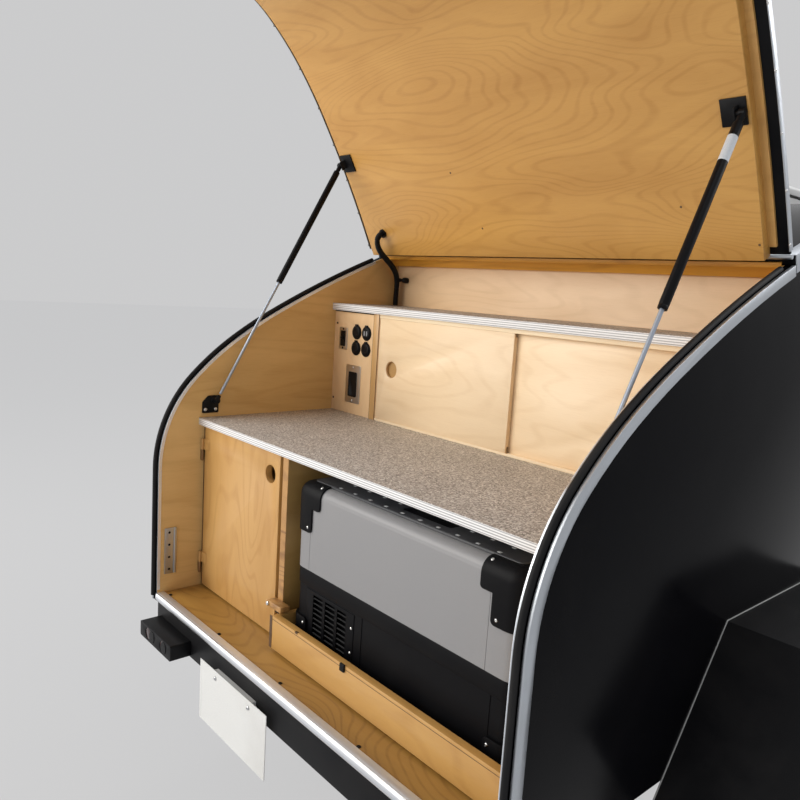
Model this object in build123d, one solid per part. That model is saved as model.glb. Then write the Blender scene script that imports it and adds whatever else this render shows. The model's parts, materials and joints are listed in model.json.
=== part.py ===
from build123d import *
from math import asin, atan2, cos, degrees, hypot, radians, sin, sqrt
import os

# Teardrop trailer with an open rear galley. Millimetres, +Z up, +Y towards the hitch, +X to the
# right seen from behind. While it is built, Y 0 is the body's rear plane and Z 0 is the ground;
# at the end everything is moved along Y, so that the origin lies under the middle of the whole.

# Body
inner_width = 1219.0
wall = 25.0
body_length = 2600.0
wall_bottom = 528.0
floor_thick = 22.0
rear_upright = 897.0          # height at which the upright rear edge starts to bend forwards
rear_bends = [(350.0, 46.0), (800.0, 35.0), (1290.0, 29.0)]   # radius, heading after it
front_bends = [(700.0, -35.0), (480.0, -90.0)]                # radius, heading after it
roof_flat = 41.0              # level stretch at the top, between the crown's long bend and the front
cover = 20.0                  # roof and hatch skins stand this far outside the side walls' edge
liner = 18.0                  # ceiling board inside the cabin
edge_sheet = 2.0              # aluminium edge trims
bulkhead_y = 790.0
bulkhead_thick = 15.0

# Galley
counter_top = 1028.0
counter_thick = 19.0
counter_front = 110.0
shelf_top = 1352.0
shelf_thick = 20.0
shelf_front = 538.0
cabinet_y = 550.0             # plane of the control panel and the sliding doors
cupboard_y = 124.0            # plane of the lower door
gap = 5.0                     # running clearance of a moving piece

# Hatch
hinge_y = 717.0               # where the hinge line crosses the side walls' edge
hinge_height = 22.0           # axis above the side walls' edge
hatch_opens = 86.0
hatch_lining_depth = 14.0
hatch_skin = 7.5
seal_height = 12.0
seal_width = 14.0
seal_strip = 6.0              # wall edge left bare inside the seal
hatch_foot = 540.0

# Gas struts
strut_off_wall = 18.5
strut_foot = (152.0, 1075.0)  # lower ball, Y and Z
strut_head_y = 450.0          # upper ball, along the closed hatch
strut_head_off = 28.0         # upper ball, inside the side walls' edge
tube_radius = 9.0
rod_radius = 4.0
tube_length = 398.0

# Running gear
axle_y = 880.0
tyre_radius = 350.0
tyre_width = 205.0
rim_radius = 190.5
wheel_off_wall = 21.0
rail_height = 76.0
rail_width = 50.0
rail_x = 430.0
fender_top = 796.0
fender_half_flat = 243.0
fender_slope = 54.5
fender_width = 240.0
fender_sheet = 5.0

# Tongue
tongue_reach = 1000.0         # ball centre ahead of the body
ball_diameter = 50.0
jack_ahead = 590.0            # jack ahead of the body
jack_radius = 30.0
jack_foot_radius = 75.0

# Cabin doors and roof vent
door_rear = 1300.0
door_width = 640.0
door_bottom = 600.0
door_height = 900.0
door_corner = 110.0
window_width = 400.0
window_height = 330.0
vent_y = body_length - 900    # middle of the roof vent
vent_size = 380.0

half_in = inner_width / 2
half_out = half_in + wall
floor_top = wall_bottom + floor_thick

nodes = {}


def block(x, y, z):
    """Box between two X, two Y and two Z values."""
    size = Box(x[1] - x[0], y[1] - y[0], z[1] - z[0], align=(Align.MIN, Align.MIN, Align.MIN))
    return Pos(x[0], y[0], z[0]) * size


def rod_x(y, z, radius, x):
    """Round bar along X."""
    return Pos(x[0], y, z) * Rot(0, 90, 0) * Cylinder(radius, x[1] - x[0], align=(Align.CENTER, Align.CENTER, Align.MIN))


def rod_y(x, z, radius, y):
    """Round bar along Y."""
    return Pos(x, y[0], z) * Rot(-90, 0, 0) * Cylinder(radius, y[1] - y[0], align=(Align.CENTER, Align.CENTER, Align.MIN))


def rod_z(x, y, radius, z):
    """Round bar along Z."""
    return Pos(x, y, z[0]) * Cylinder(radius, z[1] - z[0], align=(Align.CENTER, Align.CENTER, Align.MIN))


def plate(face, x):
    """Outline in Y and Z, made as thick as the two X values say."""
    return extrude(Plane.YZ.offset(x[0]) * face, amount=x[1] - x[0])


def polygon(*points):
    return make_face(Polyline(*points, close=True))


def both(solid):
    """The piece and its mirror image on the other side."""
    return Compound([solid, mirror(solid, about=Plane.YZ)])


def reach(bends, heading):
    """How far forwards a row of bends goes, and the heading after it."""
    forwards = 0.0
    for radius, after in bends:
        forwards += radius * (sin(radians(heading)) - sin(radians(after)))
        heading = after
    return forwards, heading


def outline_segments():
    """Straights and bends of the side wall's edge, from the rear foot over the roof to the front foot."""
    y, z, heading = 0.0, rear_upright, 90.0
    segments = [("straight", (0.0, wall_bottom), heading, rear_upright - wall_bottom)]
    front_reach = reach(front_bends, 0.0)[0]
    rear_reach, rear_heading = reach(rear_bends, heading)
    crown = (body_length - front_reach - rear_reach - roof_flat) / sin(radians(rear_heading))
    for bends, last in ((rear_bends + [(crown, 0.0)], False), (front_bends, True)):
        for radius, after in bends:
            centre = (y + radius * sin(radians(heading)), z - radius * cos(radians(heading)))
            segments.append(("bend", centre, radius, heading, after))
            y, z = centre[0] - radius * sin(radians(after)), centre[1] + radius * cos(radians(after))
            heading = after
        length = z - wall_bottom if last else body_length - front_reach - y
        segments.append(("straight", (y, z), heading, length))
        if not last:
            y += length
    return segments


segments = outline_segments()


def outline(offset):
    """Edges of the side wall's edge line, moved outwards by offset."""
    edges = []
    for segment in segments:
        if segment[0] == "straight":
            kind, start, heading, length = segment
            along = (cos(radians(heading)), sin(radians(heading)))
            first = (start[0] - along[1] * offset, start[1] + along[0] * offset)
            edges.append(Line(first, (first[0] + along[0] * length, first[1] + along[1] * length)))
        else:
            kind, centre, radius, before, after = segment
            ends = []
            for heading in (before, (before + after) / 2, after):
                reach = radius + offset
                ends.append((centre[0] - reach * sin(radians(heading)), centre[1] + reach * cos(radians(heading))))
            edges.append(ThreePointArc(*ends))
    return edges


def on_outline(y, offset=0.0):
    """Point beside the edge line at this Y, and the line's heading there."""
    for segment in segments:
        if segment[0] == "bend":
            kind, centre, radius, before, after = segment
            low, high = centre[0] - radius * sin(radians(before)), centre[0] - radius * sin(radians(after))
            if low <= y <= high:
                heading = degrees(asin((centre[0] - y) / radius))
                reach = radius + offset
                return centre[0] - reach * sin(radians(heading)), centre[1] + reach * cos(radians(heading)), heading
    return y, segments[5][1][1] + offset, 0.0


def ring_face(inner, outer):
    """Band along the edge line between two offsets."""
    low, high = outline(inner), outline(outer)
    ends = [Line(low[0] @ 0, high[0] @ 0), Line(low[-1] @ 1, high[-1] @ 1)]
    return make_face(low + high + ends)


def inside_face(offset):
    edges = outline(offset)
    return make_face(edges + [Line(edges[0] @ 0, edges[-1] @ 1)])


def cut_line(y):
    """Two points of the line square to the edge line at this Y."""
    point_y, point_z, heading = on_outline(y)
    out = (-sin(radians(heading)) * 400, cos(radians(heading)) * 400)
    return (point_y + out[0], point_z + out[1]), (point_y - out[0], point_z - out[1])


def ahead_of(y):
    top, low = cut_line(y)
    return polygon(top, (body_length + 500, top[1]), (body_length + 500, 0), (low[0], 0), low)


def behind(y, foot):
    top, low = cut_line(y)
    return polygon(top, (-600, top[1]), (-600, foot), (low[0], foot), low)


def rounded(width, height, corner, y, z):
    return Pos(y, z) * RectangleRounded(width, height, corner)


hinge_axis = on_outline(hinge_y, hinge_height)[:2]


def turn_hatch(solid, angle=hatch_opens):
    """Swing a piece of the closed hatch open about the hinge."""
    return Pos(0, hinge_axis[0], hinge_axis[1]) * Rot(-angle, 0, 0) * Pos(0, -hinge_axis[0], -hinge_axis[1]) * solid


def turn_point(point, angle=hatch_opens):
    y, z = point[0] - hinge_axis[0], point[1] - hinge_axis[1]
    c, s = cos(radians(angle)), sin(radians(angle))
    return hinge_axis[0] + y * c + z * s, hinge_axis[1] - y * s + z * c


# Side walls, with the door openings cut
door_front = door_rear + door_width
door_top = door_bottom + door_height
door_mid = ((door_rear + door_front) / 2, (door_bottom + door_top) / 2)
door_hole = rounded(door_width, door_height, door_corner, *door_mid)
wall_face = inside_face(0) - door_hole
nodes["side_walls"] = both(plate(wall_face, (half_in, half_out)))

# Floor, bulkhead, spar and the sill that the hatch closes over
front_inside = body_length - liner
overhead = 2 * body_length    # above everything
inside = plate(inside_face(-liner), (-half_in, half_in))
nodes["floor_deck"] = block((-half_in, half_in), (0, front_inside), (wall_bottom, floor_top))
bulkhead = block((-half_in, half_in), (bulkhead_y, bulkhead_y + bulkhead_thick), (floor_top, overhead)) & inside
nodes["bulkhead"] = bulkhead
spar_rear = hinge_y + 6.5
spar_nose = spar_rear + 5
spar_heel = bulkhead_y - 39    # where the sloping face starts, under the roof
spar_toe = bulkhead_y - 16
spar_low = 1477.0
heel_z = on_outline(spar_heel)[1] - 3
spar_face = polygon(
    (spar_heel, overhead), (spar_heel, heel_z), (spar_toe, spar_low), (bulkhead_y, spar_low), (bulkhead_y, overhead)
)
spar = plate(spar_face & inside_face(0), (-half_in, half_in))
spar += plate(ring_face(-3, 0) & ahead_of(spar_rear) & behind(spar_heel + 3, wall_bottom), (-half_in, half_in))
spar += plate(ring_face(-3, 8) & ahead_of(spar_rear) & behind(spar_nose, wall_bottom), (-half_in, half_in))
nodes["roof_spar"] = spar
sill_leg = 20.0
nodes["sill_trim"] = (
    block((-half_in, half_in), (-edge_sheet, sill_leg), (floor_top, floor_top + edge_sheet))
    + block((-half_in, half_in), (-edge_sheet, 0), (floor_top - sill_leg, floor_top + edge_sheet))
)

# Roof: outer shell over the walls and the ceiling board between them, both open under the vent
roof_rear = spar_nose + 0.5
vent_middle = on_outline(vent_y, 0)
vent_hole = Pos(0, vent_y, vent_middle[1]) * Box(vent_size - 40, vent_size - 40, 500)
roof = plate(ring_face(0, cover) & ahead_of(roof_rear), (-half_out, half_out)) - vent_hole
nodes["roof_shell"] = roof
ceiling = plate(ring_face(-liner, 0) & ahead_of(bulkhead_y), (-half_in, half_in))
ceiling = ceiling - block((-half_in, half_in), (bulkhead_y - 300, bulkhead_y), (floor_top, overhead)) - vent_hole
nodes["ceiling_board"] = ceiling
roof_edge = (
    plate(ring_face(cover, cover + edge_sheet) & ahead_of(roof_rear), (half_out - 25, half_out + edge_sheet))
    + plate(ring_face(-15, cover + edge_sheet) & ahead_of(roof_rear), (half_out, half_out + edge_sheet))
)
wall_edge = (
    plate(ring_face(0, edge_sheet) & behind(roof_rear - 3, wall_bottom), (half_out - 5, half_out + edge_sheet))
    + plate(ring_face(-20, edge_sheet) & behind(roof_rear - 3, wall_bottom), (half_out, half_out + edge_sheet))
)
nodes["edge_trims"] = Compound([roof_edge, mirror(roof_edge, about=Plane.YZ), wall_edge, mirror(wall_edge, about=Plane.YZ)])
seal_face = ring_face(0, seal_height) & behind(hinge_y - 12, hatch_foot + 6)
nodes["hatch_seals"] = both(plate(seal_face, (half_in + seal_strip, half_in + seal_strip + seal_width)))

# Hinge strip on the roof, with its knuckle
knuckle = 5.0
leaf = ring_face(cover, cover + edge_sheet) & ahead_of(hinge_y + 3) & behind(hinge_y + 45, wall_bottom)
knuckle_bar = rod_x(hinge_axis[0], hinge_axis[1], knuckle, (-half_out, half_out))
nodes["hatch_hinge"] = plate(leaf, (25 - half_out, half_out - 25)) + knuckle_bar

# Galley boards
nodes["galley_counter"] = block(
    (-half_in, half_in), (counter_front, bulkhead_y), (counter_top - counter_thick, counter_top)
)
nodes["galley_shelf"] = block((-half_in, half_in), (shelf_front, bulkhead_y), (shelf_top - shelf_thick, shelf_top))
divider = (-202.0, -180.0)
board_top = counter_top - counter_thick
nodes["cupboard_divider"] = block(divider, (cupboard_y, bulkhead_y), (floor_top, board_top))

# Latch block on the divider's front edge
latch_x = (divider[0] - 10, divider[1] + 29)     # its end clears the fridge sliding past it
latch_z = (643.0, 657.0)
nodes["latch_block"] = block(latch_x, (cupboard_y - 26, cupboard_y), latch_z)

# Control panel with its stile, and what is set in it
panel_x = (-half_in, -421.0)
stile_x = (-421.0, -395.5)
track = 6.0
upper_track = 11.0
front_board = 9.0
shelf_low = shelf_top - shelf_thick
control_panel = block(panel_x, (cabinet_y, cabinet_y + front_board), (counter_top, shelf_low))
control_panel += block(stile_x, (cabinet_y - 2, cabinet_y + 18), (counter_top, shelf_low))
sockets = [(-499.0, 1272.0), (-453.0, 1272.0), (-499.0, 1225.0), (-453.0, 1225.0)]   # X, Z
socket_radius = 21.0
for x, z in sockets:
    control_panel -= rod_y(x, z, socket_radius - 4, (cabinet_y - 1, cabinet_y + front_board + 1))
nodes["control_panel"] = control_panel
fittings = []
for x, z in sockets:
    ring = rod_y(x, z, socket_radius, (cabinet_y - 5, cabinet_y)) - rod_y(x, z, 14, (cabinet_y - 6, cabinet_y - 2))
    fittings.append(ring + rod_y(x, z, socket_radius - 4.3, (cabinet_y, cabinet_y + 30)))
big_plate = block((70 - half_in, 139 - half_in), (cabinet_y - 4, cabinet_y), (counter_top + 33, counter_top + 146))
small_plate = block((26.5 - half_in, 70 - half_in), (cabinet_y - 3, cabinet_y), (counter_top + 188, counter_top + 254))

# Tracks of the sliding doors, grooved
door_sheet = 6.0
track_y = (cabinet_y - 2, cabinet_y + 24)
groove_play = 0.5
left_plane = cabinet_y
right_plane = cabinet_y + 13
grooves = []
for plane_y in (left_plane, right_plane):
    grooves.append((plane_y - groove_play, plane_y + door_sheet + groove_play))
tracks = []
for low, high in ((counter_top, counter_top + track), (shelf_low - upper_track, shelf_low)):
    strip = block((stile_x[1], half_in), track_y, (low, high))
    for groove in grooves:
        floor = (low + 2.5, high + 1) if low == counter_top else (low - 1, high - 2.5)
        strip -= block((stile_x[1] - 1, half_in + 1), groove, floor)
    tracks.append(strip)
nodes["slide_tracks"] = Compound(tracks)
slide_z = (counter_top + 3, shelf_low - 3)
left_slide_x = (stile_x[1] + 0.5, 100.0)
right_slide_x = (95.0, half_in - 0.5)
finger_radius = 23.0
finger_z = counter_top + 153
left_slide = block(left_slide_x, (left_plane, left_plane + door_sheet), slide_z)
left_slide -= rod_y(left_slide_x[0] + 59, finger_z, finger_radius, (left_plane - 1, left_plane + door_sheet + 1))
right_slide = block(right_slide_x, (right_plane, right_plane + door_sheet), slide_z)
right_slide -= rod_y(right_slide_x[1] - 59, finger_z, finger_radius, (right_plane - 1, right_plane + door_sheet + 1))
nodes["sliding_door_left"] = left_slide
nodes["sliding_door_right"] = right_slide
left_slide_travel = half_in - gap - left_slide_x[1]
right_slide_travel = right_slide_x[0] - stile_x[1] - gap

# Lower cupboard door, hinged at the left wall
cupboard_x = (-598.0, -217.0)
cupboard_z = (floor_top + 6, board_top - 6)
cupboard_thick = 18.0
cupboard_hinge = (-600.5, cupboard_y - 6)
cupboard_door = block(cupboard_x, (cupboard_y, cupboard_y + cupboard_thick), cupboard_z)
cupboard_door -= rod_y(cupboard_x[1] - 41.5, board_top - 59, 22.5, (cupboard_y - 1, cupboard_y + cupboard_thick + 1))
hinge_heights = [620.0, 940.0]
fixed_hinges = []
for z in hinge_heights:
    barrel = rod_z(*cupboard_hinge, 3.5, (z - 30, z - 0.2))
    arm = block((-half_in, cupboard_hinge[0] - 1), (cupboard_hinge[1] - 1.5, cupboard_hinge[1] + 1.5), (z - 30, z - 0.2))
    fixed_hinges.append(barrel + arm)
    barrel = rod_z(*cupboard_hinge, 3.5, (z + 0.2, z + 30))
    leaf_low = block((cupboard_hinge[0], cupboard_x[0] + 25), (cupboard_y - 2, cupboard_y), (z + 0.2, z + 30))
    arm = block((cupboard_hinge[0] + 0.5, cupboard_hinge[0] + 2.5), (cupboard_hinge[1], cupboard_y), (z + 0.2, z + 30))
    cupboard_door += barrel + leaf_low + arm
nodes["cupboard_door"] = cupboard_door
nodes["cupboard_hinges"] = Compound(fixed_hinges)

# Fridge on its sliding tray
rail_thick = 6.35
rail_room = 2 * rail_thick + 0.3
tray_x = (divider[1] + rail_room, half_in - rail_room)
tray_front = 85.0
tray_back = 610.0
tray_low = floor_top + 8
tray_high = 637.0
tray_board = 14.0
tray = block(tray_x, (tray_front, tray_back), (tray_low, tray_low + tray_board))
tray += block((tray_x[0], tray_x[0] + tray_board), (tray_front, tray_back), (tray_low, tray_high))
tray += block((tray_x[1] - tray_board, tray_x[1]), (tray_front, tray_back), (tray_low, tray_high))
tray += block((tray_x[0] + tray_board, tray_x[1] - tray_board), (tray_front, tray_front + 18), (tray_low, tray_high))
rail_z = (575.0, 620.0)
nodes["slide_rails"] = Compound([
    block((divider[1], divider[1] + rail_thick), (tray_front + 45, tray_back), rail_z),
    block((half_in - rail_thick, half_in), (tray_front + 45, tray_back), rail_z),
])
tray += block((tray_x[0] - rail_thick, tray_x[0]), (tray_front + 45, tray_back), rail_z)
tray += block((tray_x[1], tray_x[1] + rail_thick), (tray_front + 45, tray_back), rail_z)
nodes["fridge_tray"] = tray
tray_travel = 450.0
fridge_x = (-140.0, 524.0)
fridge_y = (125.0, 525.0)
lid_low = 962.0
fridge_z = (tray_low + tray_board, lid_low + 6)
fridge_corner = 30.0
fridge_shoulder = 24.0


def fridge_form(out):
    """The rounded case of the fridge, grown outwards by a distance."""
    form = block(
        (fridge_x[0] - out, fridge_x[1] + out), (fridge_y[0] - out, fridge_y[1] + out), (fridge_z[0], lid_low + out)
    )
    form = fillet(form.edges().filter_by(Axis.Z), fridge_corner + out)
    return fillet(form.faces().sort_by(Axis.Z)[-1].edges(), fridge_shoulder + out)


fridge_base = fridge_form(0)
band_z = 767.0
foot_step = block((fridge_x[0] - 1, fridge_x[1] + 1), (fridge_y[0] - 1, fridge_y[0] + 3), (fridge_z[0] - 1, band_z))
fridge_base -= foot_step
vent_columns = [(-62.0, -26.0), (-17.0, 19.0), (28.0, 60.0)]
for slat in range(8):
    z = 625 + slat * 11.7
    for column in vent_columns:
        fridge_base -= block(column, (fridge_y[0] + 2, fridge_y[0] + 12), (z, z + 7))
nodes["fridge_body"] = fridge_base
lid_edge = fridge_shoulder + 2
lid = block(
    (fridge_x[0] + lid_edge, fridge_x[1] - lid_edge), (fridge_y[0] + lid_edge, fridge_y[1] - lid_edge),
    (lid_low, fridge_z[1]),
)
lid = fillet(lid.edges().filter_by(Axis.Z), 12)
lid = chamfer(lid.edges().group_by(Axis.Z)[-1], 3)
nodes["fridge_lid"] = lid
guard_out = 4.0
guard_skin = fridge_form(guard_out) - fridge_base - lid
guards = []
for side in (-1, 1):
    corner_x = fridge_x[0] if side < 0 else fridge_x[1]
    outer_x = corner_x + side * (guard_out + 1)
    front_y = fridge_y[0] - guard_out - 1
    upper = block(sorted((outer_x, corner_x - side * 92)), (front_y, fridge_y[0] + 80), (911, lid_low + guard_out))
    upper -= block((fridge_x[0] + lid_edge, fridge_x[1] - lid_edge), (fridge_y[0] + lid_edge, fridge_y[1]), (lid_low - 1, 1000))
    lower = block(sorted((outer_x, corner_x - side * 63)), (front_y, fridge_y[0] + 50), (855, 911))
    foot = block(sorted((outer_x, corner_x - side * 58)), (front_y, fridge_y[0] + 45), (fridge_z[0], 653))
    for shape in (upper + lower, foot):
        guards.append((guard_skin & shape).solids().sort_by(SortBy.VOLUME)[-1])
nodes["fridge_guards"] = Compound(guards)

# Hatch, made closed and then swung open
hatch_face_skin = ring_face(cover - hatch_skin, cover) & behind(hinge_y - 7, hatch_foot)
hatch_shell = plate(hatch_face_skin, (-half_out, half_out))
nodes["hatch_shell"] = turn_hatch(hatch_shell)
lining_half = half_in - 12
lining_face = ring_face(-hatch_lining_depth, cover - hatch_skin) & behind(hinge_y - 4.5, 575)
lining = plate(lining_face, (-lining_half, lining_half))
nodes["hatch_lining"] = turn_hatch(lining)
side_leg = ring_face(8, cover + edge_sheet) & behind(hinge_y - 14, hatch_foot)
top_leg = ring_face(cover, cover + edge_sheet) & behind(hinge_y - 14, hatch_foot)
side_trim = plate(top_leg, (half_out - 22, half_out + edge_sheet)) + plate(side_leg, (half_out, half_out + edge_sheet))
foot_face = ring_face(8, cover + edge_sheet) & polygon((-100, hatch_foot - 2), (100, hatch_foot - 2), (100, hatch_foot), (-100, hatch_foot))
foot_trim = plate(foot_face, (-half_out - edge_sheet, half_out + edge_sheet))
hatch_trim = side_trim + mirror(side_trim, about=Plane.YZ) + foot_trim
nodes["hatch_trim"] = turn_hatch(hatch_trim)
handle_z = 655.0
handle = rod_y(0, handle_z, 24, (-cover - 5, -cover)) + rod_y(0, handle_z, 9, (-cover - 24, -cover - 5))
handle += fillet(block((-52, 52), (-cover - 34, -cover - 22), (handle_z - 8, handle_z + 8)).edges().filter_by(Axis.Y), 6)
handle = turn_hatch(handle)

# Gas struts: tube on the hatch, rod towards the wall, balls in one plane beside each wall
strut_x = half_in - strut_off_wall
head_closed = on_outline(strut_head_y, -strut_head_off)[:2]
head_open = turn_point(head_closed)
strut_run = (strut_foot[0] - head_open[0], strut_foot[1] - head_open[1])
strut_open = hypot(*strut_run)
strut_angle = degrees(atan2(strut_run[1], strut_run[0]))
closed_run = (strut_foot[0] - head_closed[0], strut_foot[1] - head_closed[1])
strut_closed = hypot(*closed_run)
closed_angle = degrees(atan2(closed_run[1], closed_run[0]))
strut_stroke = strut_open - strut_closed
strut_swing = (closed_angle - strut_angle - hatch_opens + 180) % 360 - 180
socket_half = 6.0


def along_strut(solid):
    """Place a piece drawn along +Z from the upper ball so that it points at the lower ball."""
    return Pos(strut_x, *head_open) * Rot(strut_angle - 90, 0, 0) * solid


socket = rod_x(0, 0, 8, (-socket_half, socket_half))
tube = Pos(0, 0, 20) * Cylinder(tube_radius, tube_length - 20, align=(Align.CENTER, Align.CENTER, Align.MIN))
tube += Cylinder(5, 24, align=(Align.CENTER, Align.CENTER, Align.MIN)) + socket
bore = Pos(0, 0, 30) * Cylinder(rod_radius + 0.5, tube_length, align=(Align.CENTER, Align.CENTER, Align.MIN))
tube -= bore
foot_end = strut_open
rod_inside = 8.0
rod = Pos(0, 0, tube_length - rod_inside) * Cylinder(rod_radius, foot_end - tube_length + rod_inside - 6, align=(Align.CENTER, Align.CENTER, Align.MIN))
rod += Pos(0, 0, foot_end - 14) * Cylinder(5.5, 14, align=(Align.CENTER, Align.CENTER, Align.MIN))
rod += Pos(0, 0, foot_end) * socket
nodes["strut_tube_right"] = along_strut(tube)
nodes["strut_rod_right"] = along_strut(rod)
nodes["strut_tube_left"] = mirror(nodes["strut_tube_right"], about=Plane.YZ)
nodes["strut_rod_left"] = mirror(nodes["strut_rod_right"], about=Plane.YZ)
bracket_y, bracket_z = (strut_foot[0] - 34, strut_foot[0] + 14), (strut_foot[1] - 36, strut_foot[1] + 12)
bracket = block((half_in - 3, half_in), bracket_y, bracket_z)
bracket = chamfer(bracket.edges().filter_by(Axis.X).group_by(Axis.Z)[-1].sort_by(Axis.Y)[0:1], 16)
bracket += rod_x(*strut_foot, 5, (strut_x + socket_half + 0.3, half_in - 3))
catch = block((half_in - 3, half_in), (18, 51), (floor_top + 51, floor_top + 180))
nodes["wall_fittings"] = Compound([bracket, catch, mirror(bracket, about=Plane.YZ), mirror(catch, about=Plane.YZ)])
head_y, head_z, head_heading = on_outline(strut_head_y, -hatch_lining_depth)
head_frame = Pos(0, head_y, head_z) * Rot(head_heading, 0, 0)
head_plate = head_frame * block((strut_x - 45, strut_x + 2), (-25, 25), (-4, 0)) - lining
ear = head_frame * block((strut_x - socket_half - 8, strut_x - socket_half - 5), (-12, 12), (-22, -3))
pin = rod_x(*head_closed, 5, (strut_x - socket_half - 5, strut_x - socket_half - 0.3))
head_bracket = turn_hatch(head_plate + ear + pin)

# Chassis: two rails and cross members under the floor
rail_top = wall_bottom
rail_low = rail_top - rail_height
chassis_front = body_length - 120
chassis = block((rail_x - rail_width, rail_x), (2, chassis_front), (rail_low, rail_top))
chassis += block((-rail_x, -rail_x + rail_width), (2, chassis_front), (rail_low, rail_top))
tongue_overlap = 500.0        # length of the tongue under the body
tongue_rear = body_length - tongue_overlap
cross_members = [2.0, axle_y - 180, axle_y + 570, tongue_rear - rail_width, chassis_front - rail_width]
for number, y in enumerate(cross_members):
    half = half_in if number == 0 else rail_x - rail_width / 2
    chassis += block((-half, half), (y, y + rail_width), (rail_low, rail_top))
nodes["chassis"] = chassis

# Tongue: two tubes that meet at the coupler
coupler_y = body_length + tongue_reach
jack_y = body_length + jack_ahead
tongue_front = coupler_y - 120
tongue_low = rail_low - rail_height


def tongue_tube(side):
    start = (side * (rail_x - 60), tongue_rear)
    end = (side * 42, tongue_front)
    length = hypot(end[0] - start[0], end[1] - start[1])
    turn = degrees(atan2(end[1] - start[1], end[0] - start[0]))
    beam = Box(length, rail_width, rail_height, align=(Align.MIN, Align.CENTER, Align.MIN))
    return Pos(start[0], start[1], tongue_low) * Rot(0, 0, turn) * beam


tongue = tongue_tube(1) + tongue_tube(-1)
jack_plate = block((-110, 110), (jack_y - 60, jack_y + 60), (rail_low, rail_low + 8))
jack_plate -= rod_z(0, jack_y, jack_radius + 0.3, (rail_low - 1, rail_low + 10))
tongue += jack_plate
nodes["tongue"] = tongue

# Coupler with its ball socket
ball_radius = ball_diameter / 2
ball_z = tongue_low + 42
coupler = loft([
    Plane((0, tongue_front - 90, rail_low - 10), x_dir=(1, 0, 0), z_dir=(0, 1, 0)) * Rectangle(150, 60),
    Plane((0, coupler_y - 45, rail_low - 20), x_dir=(1, 0, 0), z_dir=(0, 1, 0)) * Rectangle(74, 74),
])
coupler += rod_z(0, coupler_y, 42, (ball_z - 12, ball_z + 40))
coupler += block((-37, 37), (coupler_y - 46, coupler_y), (rail_low - 57, rail_low + 17))
coupler -= Pos(0, coupler_y, ball_z) * Sphere(ball_radius + 0.5)
coupler -= rod_z(0, coupler_y, ball_radius + 0.5, (tongue_low - 60, ball_z))
coupler -= nodes["tongue"]
nodes["coupler"] = coupler.solids().sort_by(SortBy.VOLUME)[-1]

# Jack: tube with a crank head, and the leg that carries the tongue
jack_top = 830.0
jack_travel = 250.0
jack_tube = rod_z(0, jack_y, jack_radius, (290, jack_top)) - rod_z(0, jack_y, 24.5, (280, jack_top - 40))
jack_tube += rod_z(0, jack_y, 37, (jack_top, jack_top + 45))
crank = rod_y(0, jack_top + 24, 8, (jack_y + 30, jack_y + 62)) + block((-8, 8), (jack_y + 50, jack_y + 62), (jack_top + 16, jack_top + 150))
crank += rod_y(0, jack_top + 142, 12, (jack_y + 50, jack_y + 150))
nodes["jack_tube"] = jack_tube + crank
leg = rod_z(0, jack_y, 24, (8, jack_top - 40 - jack_travel - 10)) + rod_z(0, jack_y, jack_foot_radius, (0, 8))
nodes["jack_leg"] = leg

# Axle: beam under the rails, trailing arms and stub axles
beam_y = axle_y + 150
beam_low = rail_low - rail_height
wheel_x = half_out + wheel_off_wall + tyre_width / 2
hub_x = wheel_x - 30
beam = block((-570, 570), (beam_y - 38, beam_y + 38), (beam_low, rail_low))
arm_run = (axle_y - beam_y, tyre_radius - (beam_low + 38))
arm_turn = degrees(atan2(arm_run[1], arm_run[0]))
arm = Pos(570, (beam_y + axle_y) / 2, (beam_low + 38 + tyre_radius) / 2) * Rot(arm_turn - 180, 0, 0) * Box(30, hypot(*arm_run) + 70, 64, align=(Align.MIN, Align.CENTER, Align.CENTER))
stub_radius = 19.0
stub = rod_x(axle_y, tyre_radius, stub_radius, (600, hub_x + 25))
nodes["axle"] = beam + arm + stub + mirror(arm + stub, about=Plane.YZ)


# Wheels
def ring_x(profile_points, x):
    """Revolve an outline given as (X, radius) about the axle line."""
    face = make_face(Polyline(*profile_points, close=True))
    turned = revolve(face, axis=Axis.X)
    return Pos(x, axle_y, tyre_radius) * turned


half_tyre = tyre_width / 2
rim_half = half_tyre - 14
bead = rim_half - 5.3
tyre_points = [
    (-bead, rim_radius - 4), (-bead, rim_radius + 12.5), (-half_tyre, rim_radius + 50), (-half_tyre, tyre_radius - 55),
    (-half_tyre + 16, tyre_radius - 12), (-half_tyre + 32, tyre_radius), (half_tyre - 32, tyre_radius),
    (half_tyre - 16, tyre_radius - 12), (half_tyre, tyre_radius - 55), (half_tyre, rim_radius + 50),
    (bead, rim_radius + 12.5), (bead, rim_radius - 4),
]
rim_points = [
    (-rim_half, rim_radius + 12), (-rim_half + 5, rim_radius + 12), (-rim_half + 5, rim_radius - 4.3),
    (rim_half - 5, rim_radius - 4.3), (rim_half - 5, rim_radius + 12), (rim_half, rim_radius + 12),
    (rim_half, rim_radius - 12), (20, rim_radius - 14), (36, 88), (26, 33),
    (18, 33), (28, 86), (10, rim_radius - 20), (-rim_half, rim_radius - 14),
]
rim = ring_x(rim_points, wheel_x)
for hole in range(6):
    angle = radians(hole * 60)
    y, z = axle_y + 128 * cos(angle), tyre_radius + 128 * sin(angle)
    rim -= rod_x(y, z, 15, (wheel_x - 60, wheel_x + 80))
hub = rod_x(axle_y, tyre_radius, 75, (hub_x, wheel_x + 18)) + rod_x(axle_y, tyre_radius, 33, (wheel_x + 10, wheel_x + 58))
hub = hub + rod_x(axle_y, tyre_radius, 125, (hub_x + 2, hub_x + 30)) - rod_x(axle_y, tyre_radius, stub_radius + 0.3, (hub_x - 5, hub_x + 30))
nodes["tyre_right"] = ring_x(tyre_points, wheel_x)
nodes["wheel_rim_right"] = rim + hub
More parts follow.
